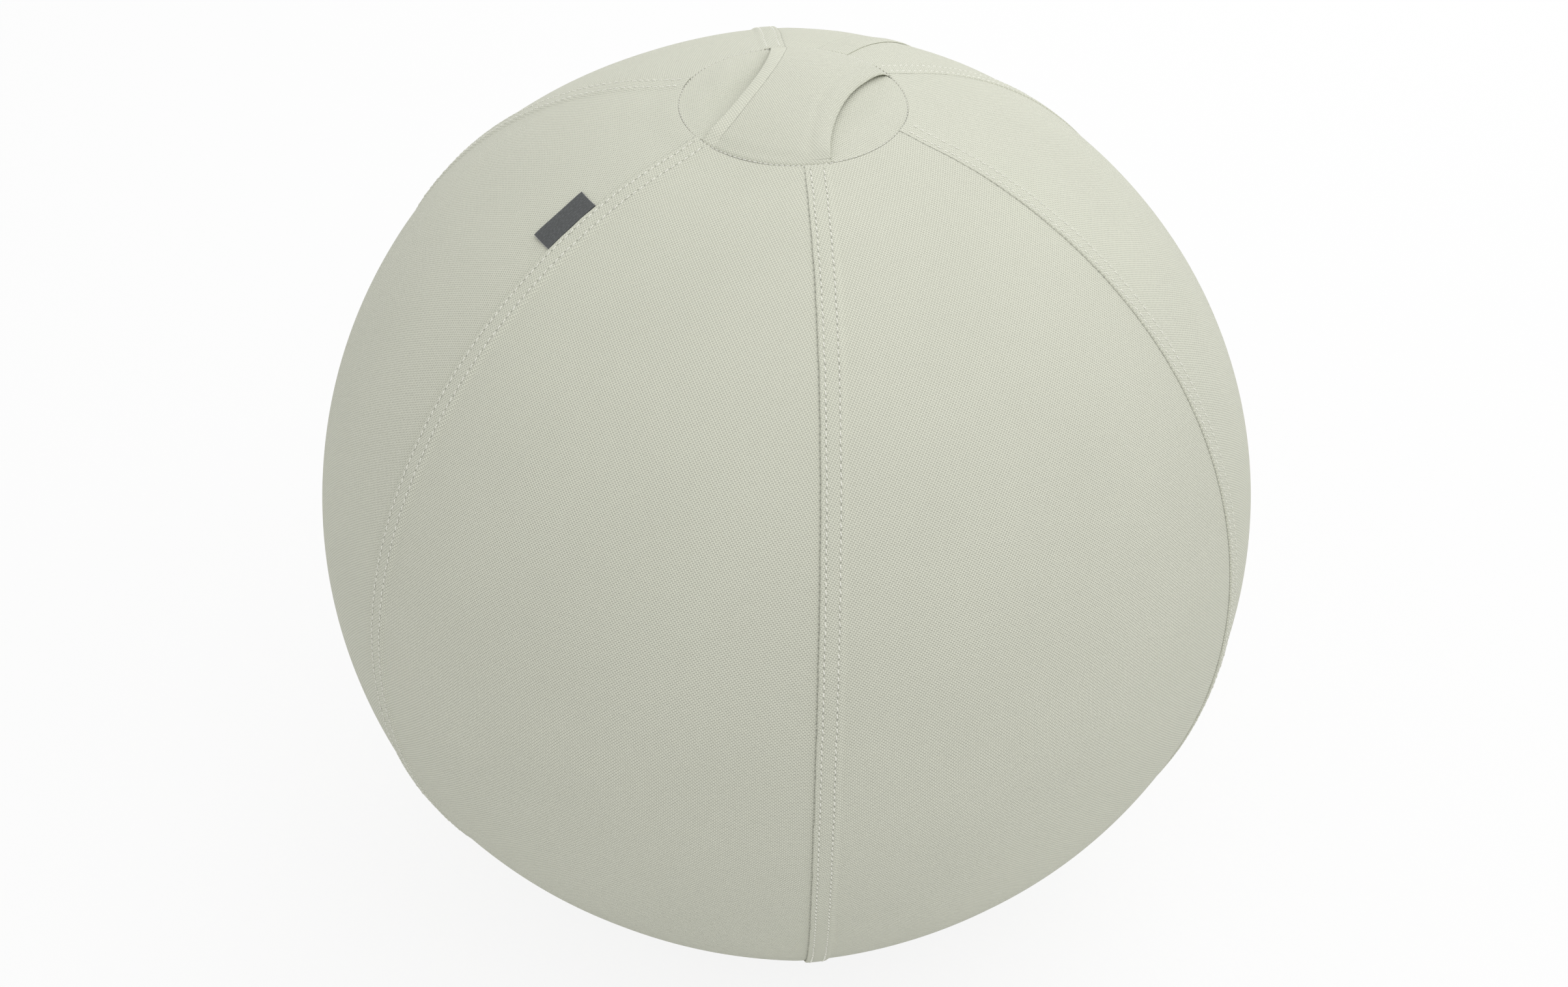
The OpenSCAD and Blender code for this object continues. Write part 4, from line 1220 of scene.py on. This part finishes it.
class SITTING_BALL_OT_inner_ball(Operator):
    """Builds the inflated inner ball with its valve seat, and finishes the plug"""

    bl_idname = "sitting_ball.inner_ball"
    bl_label = "Inner Ball"

    def execute(self, context):
        r = BLADDER_R
        inner_r = r - BLADDER_WALL
        recess = VALVE_RECESS_R
        step_r = r - VALVE_STEP
        start = math.asin(recess / r)
        angles = np.concatenate([start + np.array([0, 0.2, 0.6, 1.4]) * MM / r,
                                 np.linspace(start + 3 * MM / r, math.pi - 0.004, 150)])
        outer = [(VALVE_BORE_R, inner_r - SEAT_DEPTH), (VALVE_BORE_R, step_r),
                 (recess - 0.2 * MM, step_r), (recess, step_r + 0.2 * MM)]
        outer += [(r * math.sin(a), r * math.cos(a)) for a in angles]
        inner = [(inner_r * math.sin(a), inner_r * math.cos(a)) for a in angles[::-1]
                 if inner_r * math.sin(a) > SEAT_R + 0.5 * MM or a > 2]
        inner += [(SEAT_R, inner_r - 0.4 * MM), (SEAT_R, inner_r - SEAT_DEPTH)]
        grid = lathe(outer + inner, 200) @ np.array(Matrix.Rotation(-VALVE_POLAR, 3, "X")).T
        grid[..., 2] += CENTRE_Z
        count = len(outer)
        grid[:count, :, 2] = np.maximum(grid[:count, :, 2], BLADDER_Z0)
        grid[count:, :, 2] = np.maximum(grid[count:, :, 2], BLADDER_Z0 + BLADDER_WALL)
        obj = new_object("inner_ball_skin", ring_mesh(grid), self.skin(), "bladder")
        plastic = plastic_finish("plug_plastic", (0.72, 0.72, 0.70, 1), (0.60, 0.60, 0.57, 1),
                                 scales=(80.0, 300.0, 1500.0), rough=(0.35, 0.55))
        finish_node("valve_plug", plastic)
        return {"FINISHED"}

    def skin(self):
        """Matt burst-proof skin with fine ribs round it and a faint bloom."""
        f = Finish("inner_ball_skin", settings()[2].skin_colour)
        place = f.place()
        y = f.split(place)[1]
        band = f.ramp(f.math("ABSOLUTE", y), 0.17, 0.18, 1.0, 0.0)
        rib = f.ramp(f.math("SINE", f.math("MULTIPLY", y, 2 * math.pi / (6 * MM))), 0.2, 0.9)
        bloom = f.noise(place, 14.0, 4.0)
        tone = f.tones(f.ramp(bloom, 0.35, 0.7, 0.0, 0.5), 0.95, 1.3)
        grain = f.math("MULTIPLY", f.noise(place, 900.0, 2.0), 0.15)
        relief = f.math("ADD", f.math("MULTIPLY", rib, band), grain)
        return f.surface(tone, f.ramp(bloom, 0.3, 0.7, 0.45, 0.62), f.bump(relief, 0.25 * MM, 0.6))


def finish_node(node, material):
    """Gives a CAD node that stays its own finish."""
    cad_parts[node].data.materials.clear()
    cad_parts[node].data.materials.append(material)


def round_x(radius, polar, x):
    """Points of a circle round the ball's X axis, x to the right of the middle of the zip."""
    return stacked(ZIP_X + x, radius * np.sin(polar), CENTRE_Z + radius * np.cos(polar))


class SITTING_BALL_OT_zip(Operator):
    """Builds the zip's tapes and teeth, and finishes its stops, slider and pull"""

    bl_idname = "sitting_ball.zip"
    bl_label = "Zip"

    def execute(self, context):
        fittings = settings()[2]
        tape = self.tape_finish(fittings)
        self.tape("right", SLIT_HALF, NEAR_FOLD + TAPE_UNDER, tape)
        self.tape("left", -FAR_FOLD - TAPE_UNDER, -SLIT_HALF, tape)
        colour = fittings.teeth_colour
        plastic = plastic_finish("zip_teeth_plastic", shade_of(colour, 1.0), shade_of(colour, 0.82),
                                 scales=(120.0, 500.0, 1400.0), rough=(0.32, 0.5))
        self.teeth("right", 1, 0.0, plastic, fittings)
        self.teeth("left", -1, 0.5, plastic, fittings)
        metal = self.metal_finish(fittings)
        for node in ("zip_top_stops", "zip_bottom_stop", "zip_slider", "zip_pull"):
            finish_node(node, metal)
        return {"FINISHED"}

    def tape(self, hand, x0, x1, material):
        polar = np.linspace(TAPE_TOP, TAPE_LOW, 300)[:, None]
        x = np.linspace(x1, x0, 15)[None, :]
        dip = FAR_DIP * np.clip((-x - NEAR_FOLD) / (FAR_FOLD + TAPE_UNDER - NEAR_FOLD), 0, 1)
        outer = round_x(TAPE_R1 - dip, polar, x)
        mesh = shell_mesh(outer, round_x(TAPE_R0 - dip, polar, x), stacked(x, GORE_R * polar))
        node = "zip_tape_" + hand
        new_object(node + "_weave", mesh, material, node)

    def teeth(self, hand, side, phase, material, fittings):
        """Moulded teeth: a head that hooks past the middle, a neck and a foot clamped on the tape."""
        pitch = fittings.tooth_pitch
        step = pitch / TEETH_R0
        count = int((TEETH_LOW - TEETH_TOP) / step - 1)
        centres = TEETH_TOP + (np.arange(count) + 0.5 + phase) * step
        x = np.array([CHAIN_HALF, CHAIN_HALF - 0.15 * MM, 1.7 * MM, 1.1 * MM, 0.65 * MM,
                      SLIT_HALF + 0.02 * MM])
        wide = np.array([0.24, 0.28, 0.28, 0.20, 0.26, 0.18]) * pitch
        high = np.array([0.55, 0.9, 1.0, 0.92, 0.92, 0.7])
        mid_r = (TEETH_R0 + TEETH_R1) / 2
        half_h = (TEETH_R1 - TEETH_R0) / 2
        corner = np.radians([45, 90, 135, 225, 270, 315])
        over, up = (np.sign(wave) * np.abs(wave) ** 0.6 for wave in (np.cos(corner), np.sin(corner)))
        polar = centres[:, None, None] + wide[:, None] * over / GORE_R
        radius = mid_r - half_h * (1 - high[:, None]) * 0.6 + half_h * high[:, None] * up
        grid = round_x(radius[None], polar, side * x[:, None])
        if side < 0:
            grid = grid[:, :, ::-1]
        node = "zip_teeth_" + hand
        new_object(node + "_row", tubes_mesh(grid, flip=True), material, node)

    def tape_finish(self, fittings):
        f = Finish("zip_tape_weave", fittings.tape_colour)
        weave = f.vector("weave")
        x, y, _ = f.split(weave)
        slant = f.math("ADD", f.math("PINGPONG", x, 1.2 * MM), y)
        height = f.ramp(f.math("SINE", f.math("MULTIPLY", slant, 2 * math.pi / (0.6 * MM))), -1.0, 1.0)
        tone = f.blotch(f.tones(height, 0.72, 1.08), f.noise(weave, 160.0), 0.4, 0.7, 0.25, 0.8)
        return f.surface(tone, f.ramp(height, 0, 1, 0.9, 0.75), f.bump(height, 0.12 * MM, 0.7))

    def metal_finish(self, fittings):
        """Tumbled, slightly worn nickel."""
        f = Finish("zip_metal", fittings.metal_colour)
        place = f.place()
        wear = f.noise(place, 240.0, 4.0, 0.6)
        rough = f.ramp(f.noise(place, 900.0, 3.0), 0.3, 0.75, 0.24, 0.46)
        return f.surface(f.tones(f.ramp(wear, 0.35, 0.7), 0.78, 1.12), rough,
                         f.bump(wear, 0.04 * MM, 0.5), metallic=1.0)


class SITTING_BALL_OT_flap(Operator):
    """Builds the flap over the zip, shaped as it lies over the shut zip"""

    bl_idname = "sitting_ball.flap"
    bl_label = "Zip Flap"

    def execute(self, context):
        inset = 3 * MM / GORE_R
        polar = np.concatenate([FLAP_TOP + np.array([-0.6, -0.35, 0.1, 0.7, 1.6]) * MM / GORE_R,
                                np.linspace(FLAP_TOP + inset, FLAP_LOW - inset, 170),
                                FLAP_LOW - np.array([1.6, 0.8, 0.3, 0]) * MM / GORE_R])[:, None]
        x = np.array([-14.5, -13.6, -12.4, -11, -9.6, -8.4, -7.2, -6, -4.8, -3.4, -2, -0.4, 1.2, 2.6,
                      3.8, 4.8, 5.5, 5.95, 6.2, 6.33, 6.38])[None, :] * MM
        risen = smooth((polar - FLAP_TOP) * GORE_R / (70 * MM))
        azimuth = math.pi - (ZIP_X + x) * per_metre(polar)
        polar = np.broadcast_to(polar, azimuth.shape)
        bed = (0.03 + 0.25 * risen) * MM
        climb = smooth((x + 14 * MM) / (13 * MM))
        fall = smooth((x - 3.4 * MM) / (2.8 * MM))
        wave = 0.16 * MM * ripple(GORE_R * polar, 9.0, (19, 33, 55, 83)) * climb * risen * (1 - fall)
        upper = CLOTH_T + 0.85 * MM + bed + wave - (0.1 * MM + bed) * fall
        upper = CLOTH_T + 0.09 * MM + (upper - CLOTH_T - 0.09 * MM) * climb
        lower = CLOTH_T + 0.02 * MM + (bed * (1 - fall) + 0.04 * MM) * smooth((x + 9 * MM) / (5 * MM))
        middle = (upper + lower) / 2
        half = (upper - lower) / 2 * np.maximum(rounded(FLAP_OVER - x, 0.9 * MM), 0.1)
        up = rounded((polar - polar.min()) * GORE_R, 1.5 * MM)
        outer = cover_points(azimuth, polar, 1.12 * MM + (middle + half - 1.12 * MM) * up)
        inner = cover_points(azimuth, polar, 1.03 * MM + (middle - half - 1.03 * MM) * up)
        mesh = shell_mesh(outer, inner, weave_grid(azimuth, polar, 3 * GORE_ARC))
        obj = new_object("zip_flap_canvas", mesh, canvas_finish("flap_canvas"), "zip_flap")
        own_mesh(obj)
        return {"FINISHED"}


OPERATORS = (SITTING_BALL_OT_stage, SITTING_BALL_OT_panels, SITTING_BALL_OT_topstitching,
             SITTING_BALL_OT_crown_cap, SITTING_BALL_OT_strap, SITTING_BALL_OT_label,
             SITTING_BALL_OT_foot, SITTING_BALL_OT_inner_ball, SITTING_BALL_OT_zip,
             SITTING_BALL_OT_flap)


class SITTING_BALL_PT_pieces(Panel):
    """Lists the ball's settings and its builders"""

    bl_label = "Sitting Ball"
    bl_idname = "SITTING_BALL_PT_pieces"
    bl_space_type = "VIEW_3D"
    bl_region_type = "UI"
    bl_category = "Sitting Ball"

    def draw(self, context):
        for group in settings():
            box = self.layout.box()
            for key in group.bl_rna.properties.keys():
                if key not in ("rna_type", "name"):
                    box.prop(group, key)
        for operator in OPERATORS:
            self.layout.operator(operator.bl_idname)


SETTINGS = (("ball_cover", CoverSettings), ("ball_crown", CrownSettings),
            ("ball_fittings", FittingSettings), ("ball_stage", StageSettings))


def register():
    for name, group in SETTINGS:
        bpy.utils.register_class(group)
        setattr(bpy.types.Scene, name, PointerProperty(type=group))
    for cls in OPERATORS + (SITTING_BALL_PT_pieces,):
        bpy.utils.register_class(cls)


def unregister():
    for cls in (SITTING_BALL_PT_pieces,) + OPERATORS[::-1]:
        bpy.utils.unregister_class(cls)
    for name, group in SETTINGS[::-1]:
        delattr(bpy.types.Scene, name)
        bpy.utils.unregister_class(group)


def main():
    """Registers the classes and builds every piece."""
    register()
    bpy.ops.sitting_ball.stage()
    bpy.ops.sitting_ball.panels()
    bpy.ops.sitting_ball.topstitching()
    bpy.ops.sitting_ball.crown_cap()
    bpy.ops.sitting_ball.strap()
    bpy.ops.sitting_ball.label()
    bpy.ops.sitting_ball.foot()
    bpy.ops.sitting_ball.inner_ball()
    bpy.ops.sitting_ball.zip()
    bpy.ops.sitting_ball.flap()


if __name__ == "__main__":
    main()
